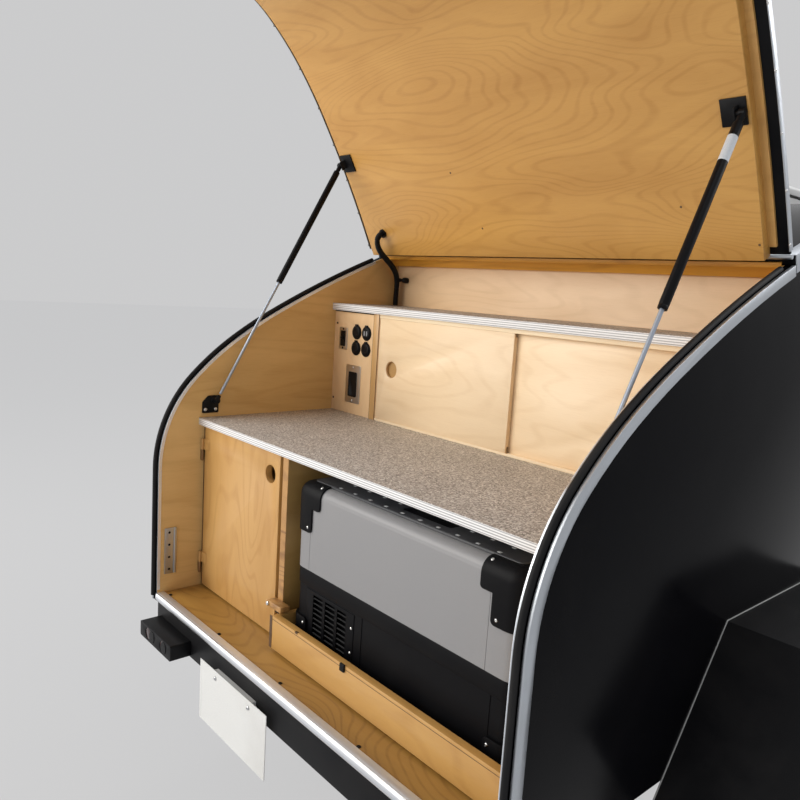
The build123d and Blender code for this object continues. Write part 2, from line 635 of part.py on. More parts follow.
for name in ("tyre", "wheel_rim"):
    nodes[name + "_left"] = mirror(nodes[name + "_right"], about=Plane.YZ)

# Fenders: folded sheet with a turned-down lip
fall = fender_top - 470
run = fall / (sin(radians(fender_slope)) / cos(radians(fender_slope)))
outer_fold = [
    (axle_y - fender_half_flat - run, 470), (axle_y - fender_half_flat, fender_top),
    (axle_y + fender_half_flat, fender_top), (axle_y + fender_half_flat + run, 470),
]
inner_fold = [(y, z - fender_sheet) for y, z in outer_fold[1:3]]
side = fender_sheet / sin(radians(fender_slope))
inner = [
    (outer_fold[0][0] + side, 470), (inner_fold[0][0] + 2.6, inner_fold[0][1]),
    (inner_fold[1][0] - 2.6, inner_fold[1][1]), (outer_fold[3][0] - side, 470),
]
lip = 40.0
lip_inner = [
    (outer_fold[0][0] + lip * 1.3, 470), (outer_fold[1][0] + 21, fender_top - lip),
    (outer_fold[2][0] - 21, fender_top - lip), (outer_fold[3][0] - lip * 1.3, 470),
]
sheet_face = polygon(*outer_fold, *reversed(inner))
lip_face = polygon(*outer_fold, *reversed(lip_inner))
fender_x = (half_out, half_out + fender_width)
fender = plate(sheet_face, fender_x) + plate(lip_face, (fender_x[1] - fender_sheet, fender_x[1]))
fender += plate(lip_face, (fender_x[0], fender_x[0] + 3))
nodes["fenders"] = both(fender)

# Tail lamps, blank plate and its bracket
lamp_x = (405.0, 590.0)
housing = fillet(block(lamp_x, (-53, 2), (456, 496)).edges().filter_by(Axis.Y), 5)
lenses = []
for x in (lamp_x[0] + 48, lamp_x[1] - 48):
    housing -= rod_y(x, 476, 16, (-54, -45))
    lenses.append(rod_y(x, 476, 15.7, (-52, -45)))
nodes["tail_lamps"] = both(housing)
nodes["tail_lenses"] = Compound(lenses + [mirror(lens, about=Plane.YZ) for lens in lenses])
plate_x = (-325.0, -20.0)
nodes["number_plate"] = block(plate_x, (-12, -10), (338, 490)) + block((-260, -85), (-10, 2), (460, 488))

# Cabin doors with windows, hinged at their front edge
slab_face = rounded(door_width - 2 * gap, door_height - 2 * gap, door_corner - gap, *door_mid)
window_mid = (door_mid[0], door_top - 130 - window_height / 2)
window_face = rounded(window_width, window_height, 60, *window_mid)
frame_face = rounded(window_width + 50, window_height + 50, 85, *window_mid)
slab = plate(slab_face - window_face, (half_in, half_out))
window_frame = plate(frame_face - rounded(window_width - 16, window_height - 16, 52, *window_mid), (half_out, half_out + 5))
pane = plate(rounded(window_width - 1, window_height - 1, 59, *window_mid), (half_out - 6, half_out))
door_axis = (half_out + 8, door_front)
leaves = []
stays = []
for z in (door_bottom + 170, door_top - 170):
    barrel = rod_z(*door_axis, 6, (z - 25, z + 25))
    leaf_moving = block((half_out, half_out + 4), (door_axis[1] - 50, door_axis[1] - gap), (z - 25, z + 25))
    arm = block((half_out, half_out + 10), (door_axis[1] - 12, door_axis[1] - 3), (z - 25, z + 25))
    leaves.append(barrel + leaf_moving + arm)
    for low, high in ((z - 60, z - 25.3), (z + 25.3, z + 60)):
        fixed = rod_z(*door_axis, 6, (low, high))
        fixed += block((half_out, half_out + 4), (door_axis[1] + gap, door_axis[1] + 50), (low, high))
        fixed += block((half_out, half_out + 10), (door_axis[1] + 3, door_axis[1] + 12), (low, high))
        stays.append(fixed)
knob = fillet(block((half_out + 14, half_out + 26), (door_rear + 40, door_rear + 150), (1035, 1060)).edges().filter_by(Axis.X), 8)
knob += rod_x(door_rear + 60, 1047, 8, (half_out, half_out + 16))
trim_face = rounded(door_width + 60, door_height + 60, door_corner + 30, *door_mid) - door_hole
for side in ("right", "left"):
    pieces = {
        "cabin_door_" + side: slab,
        "door_window_" + side: pane,
        "door_fittings_" + side: Compound([window_frame] + leaves + [knob]),
    }
    for name, solid in pieces.items():
        nodes[name] = solid if side == "right" else mirror(solid, about=Plane.YZ)
door_trim = plate(trim_face, (half_out, half_out + edge_sheet))
for z in (door_bottom + 170, door_top - 170):
    door_trim -= block((half_out - 1, half_out + 9), (door_front - 60, door_front + 60), (z - 62, z + 62))
frame_pieces = [door_trim] + stays
nodes["door_frames"] = Compound(frame_pieces + [mirror(piece, about=Plane.YZ) for piece in frame_pieces])

# Roof vent with a lid hinged at its front edge
vent_top = on_outline(vent_y + vent_size / 2, cover)[1] + 22
vent_edge = vent_size / 2
skirt_z = (vent_middle[1] - 200, vent_top)
skirt = block((-vent_edge, vent_edge), (vent_y - vent_edge, vent_y + vent_edge), skirt_z)
skirt -= block((20 - vent_edge, vent_edge - 20), (vent_y - vent_edge + 20, vent_y + vent_edge - 20), (0, overhead))
skirt -= plate(inside_face(cover), (-half_out, half_out))
vent_axis = (vent_y + vent_size / 2 + 12, vent_top + 10)
vent_knuckle = 4.0
skirt += rod_x(*vent_axis, vent_knuckle, (-vent_size / 2, vent_size / 2))
skirt += block(
    (-vent_size / 2, vent_size / 2), (vent_y + vent_size / 2 - 4, vent_axis[0]), (vent_top - 8, vent_axis[1] - 4)
)
skirt += block(
    (-vent_size / 2, vent_size / 2), (vent_axis[0] - 1, vent_axis[0] + vent_knuckle), (vent_top - 8, vent_axis[1])
)
nodes["roof_vent"] = skirt
lid_y = (vent_y - vent_size / 2 - 8, vent_axis[0] - vent_knuckle - 0.3)
vent_lid = block((-vent_size / 2 - 8, vent_size / 2 + 8), lid_y, (vent_top + 6, vent_top + 34))
vent_lid = fillet(vent_lid.edges().group_by(Axis.Z)[-1], 12)
nodes["vent_lid"] = vent_lid

# Mattress in the cabin
nodes["mattress"] = fillet(
    block((-half_in + 12, half_in - 12), (bulkhead_y + bulkhead_thick + 12, body_length - 240), (floor_top + 0.3, floor_top + 120)).edges(), 25
)

# Wire loom from a grommet on the hatch to the shelf, held by a clip on the bulkhead
loom_radius = 8.5
loom_exit = 22.0              # straight run out of the grommet
loom_head_y = hinge_y - 69    # grommet, along the closed hatch
loom_start = turn_point(on_outline(loom_head_y, -hatch_lining_depth - 0.3)[:2])
loom_heading = on_outline(loom_head_y)[2] - hatch_opens
exit_y, exit_z = sin(radians(loom_heading)), -cos(radians(loom_heading))
loom_route = [
    (-518.0, *loom_start),
    (-518.0, loom_start[0] + exit_y * loom_exit, loom_start[1] + exit_z * loom_exit),
    (-518.0, 621.0, 1532.0),
    (-520.0, 639.0, 1509.0),
    (-530.0, 676.0, 1488.0),
    (-552.0, 720.0, 1468.0),
    (-576.0, 755.0, 1448.0),
    (-585.0, 767.0, 1420.0),
    (-585.0, 765.0, 1390.0),
    (-585.0, 765.0, shelf_top + 0.3),
]


def bend_radii(route):
    """For each inner corner, 0.45 of the shorter run divided by the tangent of half the turn."""
    radii = []
    for before, corner, after in zip(route, route[1:], route[2:]):
        run_in, run_out = Vector(*corner) - Vector(*before), Vector(*after) - Vector(*corner)
        half_turn = radians(run_in.get_angle(run_out)) / 2
        radii.append(0.45 * min(run_in.length, run_out.length) * cos(half_turn) / sin(half_turn))
    return radii


loom_radii = bend_radii(loom_route)
loom_path = FilletPolyline(*loom_route, radius=loom_radii)
loom_section = Plane(loom_path @ 0, z_dir=loom_path % 0) * Circle(loom_radius)
nodes["wire_loom"] = sweep(loom_section, path=loom_path)
clip_z = 1433.0
clip = block((-596, -561), (756, bulkhead_y), (clip_z - 5, clip_z + 5)) + rod_y(-563, clip_z, 7, (774, bulkhead_y))
clip -= nodes["wire_loom"]
nodes["control_fittings"] = Compound(fittings + [big_plate, small_plate, clip])
grommet_plane = Plane((-518.0, *loom_start), x_dir=(1, 0, 0), z_dir=(0, exit_y, exit_z))
grommet = extrude(grommet_plane * (Circle(loom_radius + 4.5) - Circle(loom_radius + 0.4)), amount=5)
nodes["hatch_fittings"] = Compound([head_bracket, mirror(head_bracket, about=Plane.YZ), handle, grommet])
print("loom radii", [round(r, 1) for r in loom_radii], "length", round(loom_path.length, 1))
print("loom volume share", round(nodes["wire_loom"].volume / (3.141593 * loom_radius**2 * loom_path.length), 4))

# Move everything so that the origin is under the middle of the whole
whole = Compound([solid for node in nodes.values() for solid in node.solids()])
box = whole.bounding_box()
shift_y = -(box.min.Y + box.max.Y) / 2
os.makedirs("parts", exist_ok=True)
for name, shape in nodes.items():
    solids = shape.solids()
    moved = [Pos(0, shift_y, 0) * solid for solid in solids]
    export_step(moved[0] if len(moved) == 1 else Compound(moved), "parts/" + name + ".step")
print("nodes", len(nodes), "size", [round(v, 1) for v in (box.size.X, box.size.Y, box.size.Z)], "shift", round(shift_y, 2))
print("low", round(box.min.Z, 2), "strut open", round(strut_open, 1), "closed", round(strut_closed, 1), "swing", round(strut_swing, 2))
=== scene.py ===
# Teardrop trailer with an open rear galley: its finishes, detailed pieces, camera and studio light.
# Lengths in the pieces below are millimetres, measured from the body's rear plane, the middle and the ground.
import json
from math import cos, hypot, pi, radians, sin

import bpy
from mathutils import Matrix, Vector


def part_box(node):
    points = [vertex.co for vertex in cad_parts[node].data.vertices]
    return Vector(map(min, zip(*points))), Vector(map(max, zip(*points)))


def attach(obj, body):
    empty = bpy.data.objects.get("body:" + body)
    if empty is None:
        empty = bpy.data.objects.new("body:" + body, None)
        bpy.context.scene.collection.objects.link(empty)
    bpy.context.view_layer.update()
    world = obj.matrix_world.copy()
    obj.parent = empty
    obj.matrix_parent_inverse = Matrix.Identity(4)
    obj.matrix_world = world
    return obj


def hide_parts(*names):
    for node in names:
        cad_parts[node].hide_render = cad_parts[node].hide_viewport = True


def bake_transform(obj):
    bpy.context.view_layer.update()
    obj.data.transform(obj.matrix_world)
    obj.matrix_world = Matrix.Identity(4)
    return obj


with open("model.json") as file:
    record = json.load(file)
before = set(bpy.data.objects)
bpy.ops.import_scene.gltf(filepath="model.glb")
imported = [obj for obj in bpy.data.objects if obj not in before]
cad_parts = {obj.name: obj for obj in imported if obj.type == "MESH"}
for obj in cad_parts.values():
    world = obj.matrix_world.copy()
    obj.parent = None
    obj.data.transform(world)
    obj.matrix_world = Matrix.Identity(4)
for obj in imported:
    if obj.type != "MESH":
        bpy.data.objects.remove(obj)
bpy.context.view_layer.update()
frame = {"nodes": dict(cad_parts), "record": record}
nodes = frame["nodes"]
scene = bpy.context.scene
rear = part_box("floor_deck")[0].y

HALF_IN = 609.5
HALF_OUT = 634.5
SHELF = 1352.0
PANEL_Y = 550.0
DOOR_Y = 124.0
HINGE = (708.88, 1515.2)
HATCH_TURN = radians(86)
STRUT_X = 591.0
STRUT_FOOT = (152.0, 1075.0)
STRUT_HEAD_Y = 450.0
AXLE = (880.0, 350.0)
WHEEL_X = 758.0


def at(x, y, z):
    """A place given in millimetres from the body's rear plane, as a point of the frame in metres."""
    return Vector((x / 1000, rear + y / 1000, z / 1000))


# Outline of the side walls' edge, from the rear foot over the roof to the front foot

REAR_BENDS = [(350.0, 46.0), (800.0, 35.0), (1290.0, 29.0)]
FRONT_BENDS = [(700.0, -35.0), (480.0, -90.0)]
BODY_LENGTH = 2600.0
ROOF_FLAT = 41.0
EDGE_FOOT = 528.0
STRAIGHT_TOP = 897.0


def forward_reach(bends, heading):
    """How far forwards a row of bends goes."""
    total = 0.0
    for radius, after in bends:
        total += radius * (sin(radians(heading)) - sin(radians(after)))
        heading = after
    return total


def edge_points(offset, step=20.0):
    """Points along the edge as (y, z, heading in degrees), moved outwards by offset."""
    crown_run = BODY_LENGTH - forward_reach(REAR_BENDS, 90.0) - forward_reach(FRONT_BENDS, 0.0) - ROOF_FLAT
    crown = crown_run / sin(radians(REAR_BENDS[-1][1]))
    y, z, heading = 0.0, STRAIGHT_TOP, 90.0
    straight = range(0, int(STRAIGHT_TOP - EDGE_FOOT), int(step))
    points = [(-offset, EDGE_FOOT + rise, heading) for rise in straight]
    for radius, after in REAR_BENDS + [(crown, 0.0), (None, 0.0)] + FRONT_BENDS:
        if radius is None:
            y += ROOF_FLAT
            continue
        middle = (y + radius * sin(radians(heading)), z - radius * cos(radians(heading)))
        steps = max(2, int(radius * radians(heading - after) / step))
        for index in range(steps + 1):
            turn = heading + (after - heading) * index / steps
            out = radius + offset
            points.append((middle[0] - out * sin(radians(turn)), middle[1] + out * cos(radians(turn)), turn))
        y = middle[0] - radius * sin(radians(after))
        z = middle[1] + radius * cos(radians(after))
        heading = after
    return points


def on_edge(place, offset=0.0):
    """The edge's point over a given y, moved outwards by offset, and its heading."""
    base = edge_points(0.0, 4.0)
    near = min(base, key=lambda point: abs(point[0] - place))
    turn = radians(near[2])
    return near[0] - offset * sin(turn), near[1] + offset * cos(turn), near[2]


def opened(y, z):
    """A point of the closed hatch, moved with it to where it stands open."""
    along, up = y - HINGE[0], z - HINGE[1]
    return (
        HINGE[0] + along * cos(HATCH_TURN) + up * sin(HATCH_TURN),
        HINGE[1] - along * sin(HATCH_TURN) + up * cos(HATCH_TURN),
    )


# Shader groups

SURFACE = ("Color", "Roughness", "Height")
NONE = (0.0, 0.0, 0.0)
EVEN = (1.0, 1.0, 1.0)


def set_sockets(node, values):
    """Links or sets a node's sockets. Colours are given without alpha."""
    for name, value in values.items():
        socket = node.inputs[name]
        if isinstance(value, bpy.types.NodeSocket):
            node.id_data.links.new(value, socket)
        else:
            socket.default_value = (*value, 1.0) if socket.type == "RGBA" else value


def add(kind, sockets, tree=None, **settings):
    """A node with its settings, in the tree given or else in that of the sockets that it is linked to."""
    sources = [value for value in sockets.values() if isinstance(value, bpy.types.NodeSocket)]
    made = (tree or sources[0].id_data).nodes.new("ShaderNode" + kind)
    for name, value in settings.items():
        setattr(made, name, value)
    set_sockets(made, sockets)
    return made


def calc(operation, first, second=0.0, third=0.0, clamp=False):
    """The result of a Math node."""
    return add("Math", {0: first, 1: second, 2: third}, operation=operation, use_clamp=clamp).outputs[0]


def blended(factor, first, second):
    """The colour of a Mix node."""
    return add("Mix", {0: factor, 6: first, 7: second}, data_type="RGBA").outputs[2]


def noise(vector, scale, detail=2.0, roughness=0.5, distortion=0.0):
    """The value of a Noise Texture."""
    sockets = {
        "Vector": vector, "Scale": scale, "Detail": detail, "Roughness": roughness, "Distortion": distortion,
    }
    return add("TexNoise", sockets).outputs[0]


def stretched(vector, scale=EVEN, turn=NONE, shift=NONE):
    """The vector through a Mapping node."""
    sockets = {"Vector": vector, "Scale": scale, "Rotation": turn, "Location": shift}
    return add("Mapping", sockets).outputs[0]


def levels(value, low, high, floor=0.0, top=1.0):
    """The value spread from low and high to floor and top, and held there."""
    return add("MapRange", {0: value, 1: low, 2: high, 3: floor, 4: top}).outputs[0]


def new_group(name, inputs, outputs=SURFACE):
    """An empty shader group with a Vector and the inputs' first values."""
    tree = bpy.data.node_groups.new(name, "ShaderNodeTree")
    tree.interface.new_socket("Vector", in_out="INPUT", socket_type="NodeSocketVector")
    for label, value in inputs.items():
        colour = isinstance(value, tuple)
        kind = "NodeSocketColor" if colour else "NodeSocketFloat"
        made = tree.interface.new_socket(label, in_out="INPUT", socket_type=kind)
        made.default_value = (*value, 1.0) if colour else value
    for label in outputs:
        kind = "NodeSocketColor" if label == "Color" else "NodeSocketFloat"
        tree.interface.new_socket(label, in_out="OUTPUT", socket_type=kind)
    given = tree.nodes.new("NodeGroupInput").outputs
    return tree, given["Vector"], given, tree.nodes.new("NodeGroupOutput").inputs


def give(tree, result, **values):
    """Links the values to the group's outputs of the same names."""
    for label, value in values.items():
        tree.links.new(value, result[label])
    return tree


def make_birch_grain():
    """Rotary-cut birch, its grain along X: closed contour lines, silk and fine pores."""
    tree, place, given, result = new_group("birch_grain", {
        "Pale": (0.8, 0.6, 0.4), "Deep": (0.6, 0.4, 0.2), "Rings": 9.0, "Figure": 0.4, "Satin": 0.4,
    })
    broad = noise(stretched(place, (0.8, 3.0, 3.0)), 1.7, 1.6, 0.45, 0.35)
    wave = calc("SINE", calc("MULTIPLY", broad, calc("MULTIPLY", given["Rings"], 2 * pi)))
    ragged = noise(stretched(place, (9.0, 60.0, 60.0)), 1.0, 3.0, 0.6)
    lines = calc("MULTIPLY", levels(wave, 0.35, 1.0), levels(ragged, 0.3, 0.75, 0.35, 1.0))
    silk = noise(stretched(place, (2.2, 9.0, 9.0)), 1.0, 3.0, 0.55, 0.6)
    pores = noise(stretched(place, (30.0, 900.0, 900.0)), 1.0, 2.0, 0.6)
    depth = calc("MULTIPLY_ADD", lines, given["Figure"], levels(silk, 0.35, 0.7, 0.0, 0.45))
    depth = calc("ADD", depth, levels(pores, 0.52, 0.75, 0.0, 0.22), clamp=True)
    return give(
        tree, result,
        Color=blended(depth, given["Pale"], given["Deep"]),
        Roughness=calc("ADD", given["Satin"], levels(silk, 0.3, 0.7, -0.06, 0.08)),
        Height=calc("MULTIPLY", pores, 0.6),
    )


def make_ply_layers():
    """The edge of a plywood board: veneers across Z, pale and dark by turns, uneven along their run."""
    tree, place, given, result = new_group("ply_layers", {
        "Face": (0.8, 0.7, 0.6), "Core": (0.4, 0.3, 0.2), "Low": 0.0, "Thick": 0.019, "Layers": 4.0,
    }, ("Color",))
    height = add("SeparateXYZ", {0: place}).outputs[2]
    uneven = noise(stretched(place, (14.0, 14.0, 160.0)), 1.0, 2.0)
    share = calc("DIVIDE", calc("SUBTRACT", height, given["Low"]), given["Thick"])
    share = calc("ADD", share, levels(uneven, 0.3, 0.7, -0.003, 0.003))
    turns = calc("MULTIPLY", given["Layers"], 2 * pi)
    wave = calc("COSINE", calc("MULTIPLY", share, turns))
    fibres = noise(stretched(place, (260.0, 260.0, 900.0)), 1.0, 2.0, 0.6)
    colour = blended(levels(wave, -0.15, -0.65), given["Face"], given["Core"])
    colour = blended(levels(fibres, 0.35, 0.75, 0.0, 0.14), colour, given["Core"])
    return give(tree, result, Color=colour)


def make_speckle():
    """Printed laminate with grains of four tones, 2 to 4 mm across."""
    tree, place, given, result = new_group("speckle", {
        "Ground": (0.3, 0.26, 0.23), "Dark": (0.12, 0.1, 0.09), "Light": (0.6, 0.57, 0.53), "Grain": 330.0,
    })
    cells = add("TexVoronoi", {"Vector": place, "Scale": given["Grain"], "Randomness": 1.0})
    chance = add("SeparateColor", {0: cells.outputs["Color"]}).outputs
    fine = noise(place, calc("MULTIPLY", given["Grain"], 2.4), 2.0, 0.7)
    cloud = noise(place, 5.0, 3.0)
    colour = blended(levels(chance[0], 0.62, 0.74), given["Ground"], given["Dark"])
    colour = blended(levels(chance[1], 0.66, 0.78), colour, given["Light"])
    colour = blended(levels(fine, 0.35, 0.7, 0.0, 0.4), colour, given["Light"])
    colour = blended(levels(cloud, 0.35, 0.7, 0.0, 0.12), colour, given["Dark"])
    return give(tree, result, Color=colour, Roughness=levels(cloud, 0.3, 0.7, 0.42, 0.56), Height=fine)


def make_used_surface():
    """A painted, moulded or rolled surface in use: smears, fine scratches, a little dust and a fine grain."""
    tree, place, given, result = new_group("used_surface", {
        "Color": (0.5, 0.5, 0.5), "Dust": 0.1, "Gloss": 0.4, "Smear": 0.1, "Grain": 500.0,
    })
    smears = noise(place, 4.0, 5.0, 0.6, 0.4)
    grains = noise(place, given["Grain"], 2.0, 0.6)
    thin = noise(stretched(place, (6.0, 90.0, 900.0), (0.4, 0.9, 0.2)), 1.0, 2.0, 0.7)
    scratches = levels(thin, 0.7, 0.78)
    settled = calc("MULTIPLY", levels(smears, 0.42, 0.72), given["Dust"])
    colour = blended(settled, given["Color"], (0.36, 0.33, 0.3))
    colour = blended(levels(grains, 0.3, 0.7, 0.0, 0.12), colour, NONE)
    gloss = calc("MULTIPLY_ADD", calc("SUBTRACT", smears, 0.5), given["Smear"], given["Gloss"])
    gloss = calc("ADD", gloss, calc("MULTIPLY", scratches, 0.12), clamp=True)
    return give(tree, result, Color=colour, Roughness=gloss, Height=calc("SUBTRACT", grains, scratches))


def make_brushed():
    """Drawn or brushed metal, its lines along X, with cloudy wear."""
    tree, place, given, result = new_group("brushed", {
        "Color": (0.7, 0.7, 0.7), "Gloss": 0.3, "Lines": 1200.0,
    })
    across = add("CombineXYZ", {0: 6.0, 1: given["Lines"], 2: given["Lines"]}).outputs[0]
    drawn = add("VectorMath", {0: place, 1: across}, operation="MULTIPLY").outputs[0]
    lines = noise(drawn, 1.0, 2.0, 0.6)
    cloud = noise(place, 14.0, 4.0, 0.6)
    gloss = calc("ADD", given["Gloss"], levels(lines, 0.3, 0.7, -0.06, 0.1))
    return give(
        tree, result,
        Color=blended(levels(cloud, 0.4, 0.75, 0.0, 0.25), given["Color"], (0.35, 0.35, 0.35)),
        Roughness=calc("ADD", gloss, levels(cloud, 0.4, 0.8, 0.0, 0.15)),
        Height=lines,
    )


def make_weave():
    """Plain-woven cover: threads over and under, with slubs."""
    tree, place, given, result = new_group("weave", {
        "Thread": (0.5, 0.48, 0.45), "Shade": (0.3, 0.28, 0.26), "Count": 900.0,
    }, ("Color", "Height"))
    off_centre = add("VectorMath", {0: place, 1: (0.0004, 0.0004, 0.0004)}, operation="ADD").outputs[0]
    parts = add("SeparateXYZ", {0: off_centre}).outputs
    pitch = calc("MULTIPLY", given["Count"], pi)
    waves = [calc("SINE", calc("MULTIPLY", parts[axis], pitch)) for axis in range(3)]
    over = calc("MULTIPLY_ADD", waves[0], waves[1], calc("MULTIPLY", waves[1], waves[2]))
    slubs = noise(stretched(place, (40.0, 400.0, 400.0)), 1.0, 2.0)
    colour = blended(levels(over, -1.0, 1.0), given["Shade"], given["Thread"])
    colour = blended(levels(slubs, 0.5, 0.8, 0.0, 0.4), colour, given["Shade"])
    return give(tree, result, Color=colour, Height=over)


BIRCH_GRAIN = make_birch_grain()
PLY_LAYERS = make_ply_layers()
SPECKLE = make_speckle()
USED_SURFACE = make_used_surface()
BRUSHED = make_brushed()
WEAVE = make_weave()


# Materials

QUARTER = radians(90)
ACROSS = (0.0, 0.0, QUARTER)
UPRIGHT = (0.0, QUARTER, 0.0)
BIRCH_EDGE = 0.6135
LAMINATE = 0.0007


def start_material(name):
    """A new material, its Principled shader and the Object coordinates."""
    made = bpy.data.materials.new(name)
    made.use_nodes = True
    nodes = made.node_tree.nodes
    return made, nodes["Principled BSDF"], nodes.new("ShaderNodeTexCoord").outputs["Object"]


def use_group(group, vector, **sockets):
    """A group placed in a material, with its own values."""
    return add("Group", {"Vector": vector, **sockets}, node_tree=group).outputs


def bumped(shader, height, distance, strength):
    """The height as a bump on the shader."""
    bump = add("Bump", {"Height": height, "Distance": distance, "Strength": strength})
    set_sockets(shader, {"Normal": bump.outputs[0]})


def covered(name, group, sockets, values, turn=NONE, shift=NONE, depth=0.0, strength=0.4):
    """A material from one group, with values for the shader's own sockets, an even roughness too."""
    made, shader, place = start_material(name)
    if turn != NONE or shift != NONE:
        place = stretched(place, turn=turn, shift=shift)
    surface = use_group(group, place, **sockets)
    set_sockets(shader, {
        "Base Color": surface["Color"], "Roughness": surface.get("Roughness"), **values,
    })
    if depth:
        bumped(shader, surface["Height"], depth, strength)
    return made


def birch(name, pale, deep, rings=9.0, figure=0.4, satin=0.4, turn=NONE, shift=NONE):
    """Lacquered birch ply, the grain along X unless it is turned."""
    sockets = {"Pale": pale, "Deep": deep, "Rings": rings, "Figure": figure, "Satin": satin}
    values = {"Coat Weight": 0.15, "Coat Roughness": 0.3}
    return covered(name, BIRCH_GRAIN, sockets, values, turn, shift, 0.0002, 0.25)


def plain(
    name, colour, gloss, dust=0.1, smear=0.12, grain=500.0, depth=0.0002, metallic=0.0, coat=0.0, shine=0.5
):
    """Paint, plastic or rubber, with its wear."""
    sockets = {"Color": colour, "Dust": dust, "Gloss": gloss, "Smear": smear, "Grain": grain}
    values = {"Metallic": metallic, "Specular IOR Level": shine, "Coat Weight": coat, "Coat Roughness": 0.08}
    return covered(name, USED_SURFACE, sockets, values, depth=depth)


def metal(name, colour, gloss, lines=1200.0, turn=NONE):
    """Bare metal with drawn lines along X, or along another way when turned."""
    sockets = {"Color": colour, "Gloss": gloss, "Lines": lines}
    return covered(name, BRUSHED, sockets, {"Metallic": 1.0}, turn, depth=0.00005, strength=0.3)


def wall_finish():
    """Side walls: birch inside and on the thin edge strip, gloss black outside."""
    made, shader, place = start_material("wall_birch_and_black")
    grain = use_group(
        BIRCH_GRAIN, stretched(place, turn=ACROSS, shift=(0.3, 0.0, 0.0)),
        Pale=(0.70, 0.45, 0.185), Deep=(0.50, 0.29, 0.095), Rings=12.0, Figure=0.25, Satin=0.42,
    )
    paint = use_group(
        USED_SURFACE, place, Color=(0.003, 0.003, 0.004), Dust=0.006, Gloss=0.22, Smear=0.12, Grain=60.0
    )
    across = calc("ABSOLUTE", add("SeparateXYZ", {0: place}).outputs[0])
    outside = calc("GREATER_THAN", across, BIRCH_EDGE)
    change = calc("SUBTRACT", paint["Roughness"], grain["Roughness"])
    set_sockets(shader, {
        "Base Color": blended(outside, grain["Color"], paint["Color"]),
        "Roughness": calc("MULTIPLY_ADD", change, outside, grain["Roughness"]),
        "Specular IOR Level": 0.06,
    })
    height = calc("MULTIPLY", grain["Height"], calc("SUBTRACT", 1.0, outside))
    bumped(shader, height, 0.0002, 0.25)
    return made


def board_finish(name, low, thick):
    """A laminate-faced board: speckled on top, ply layers on its edges."""
    made, shader, place = start_material(name)
    laminate = use_group(
        SPECKLE, place,
        Ground=(0.34, 0.305, 0.28), Dark=(0.13, 0.115, 0.105), Light=(0.64, 0.61, 0.57), Grain=330.0,
    )
    layers = use_group(
        PLY_LAYERS, place,
        Face=(0.86, 0.855, 0.84), Core=(0.38, 0.37, 0.38), Low=low, Thick=thick, Layers=4.0,
    )
    height = add("SeparateXYZ", {0: place}).outputs[2]
    top = calc("GREATER_THAN", height, low + thick - LAMINATE)
    colour = blended(top, layers["Color"], laminate["Color"])
    set_sockets(shader, {"Base Color": colour, "Roughness": laminate["Roughness"]})
    bumped(shader, calc("MULTIPLY", laminate["Height"], top), 0.00015, 0.3)
    return made


lining_birch = birch("lining_birch", (0.61, 0.325, 0.08), (0.42, 0.19, 0.032), 30.0, 0.38)
spar_birch = birch("spar_birch", (0.74, 0.345, 0.04), (0.46, 0.19, 0.02), 12.0, 0.5, 0.45)
bulkhead_birch = birch(
    "bulkhead_birch", (0.83, 0.58, 0.34), (0.62, 0.40, 0.20), 13.0, 0.28, 0.45, shift=(0.4, 0.2, 0.7)
)
slide_birch = birch(
    "sliding_door_birch", (0.90, 0.70, 0.46), (0.70, 0.48, 0.26), 15.0, 0.28, shift=(1.1, 0.6, 0.3)
)
panel_birch = birch("panel_birch", (0.86, 0.60, 0.34), (0.66, 0.41, 0.21), 9.0, 0.2, 0.45, UPRIGHT)
cupboard_birch = birch(
    "cupboard_birch", (0.61, 0.35, 0.118), (0.44, 0.215, 0.05), 15.0, 0.4, 0.38, UPRIGHT, (0.2, 0.0, 0.5)
)
# Floor birch, darkened as painted shade: its tone is that of the floor where it lies in shade
floor_birch_painted_shade = birch(
    "floor_birch_painted_shade", (0.38, 0.205, 0.046), (0.21, 0.098, 0.018), 34.0, 0.5, shift=(0.0, 0.3, 0.0)
)
# Divider birch, darkened in part as painted shade of the fridge bay it stands in
divider_birch_painted_shade = birch("divider_birch_painted_shade", (0.34, 0.205, 0.06), (0.24, 0.13, 0.035), 10.0, 0.3, 0.45, ACROSS)
# Latch block's darker wood, also laid on the divider's front edge as painted shade
latch_wood_and_painted_shade = birch("latch_block_and_divider_shade", (0.50, 0.265, 0.085), (0.22, 0.10, 0.03), 30.0, 0.8, 0.45)
cup_birch = birch("cup_birch", (0.50, 0.29, 0.10), (0.34, 0.18, 0.05), 8.0, 0.3, 0.45)
# Dark wood colour for the tray's bands and the lining's nail heads, also laid as painted shade in the gaps
# beside the stile and the cupboard door
dark_wood_and_painted_shade = birch("dark_wood_and_painted_shade", (0.125, 0.062, 0.022), (0.07, 0.032, 0.012), 8.0, 0.4, 0.5, UPRIGHT)
stile_birch = birch("stile_birch", (0.60, 0.36, 0.145), (0.42, 0.23, 0.08), 10.0, 0.3, 0.42, UPRIGHT)
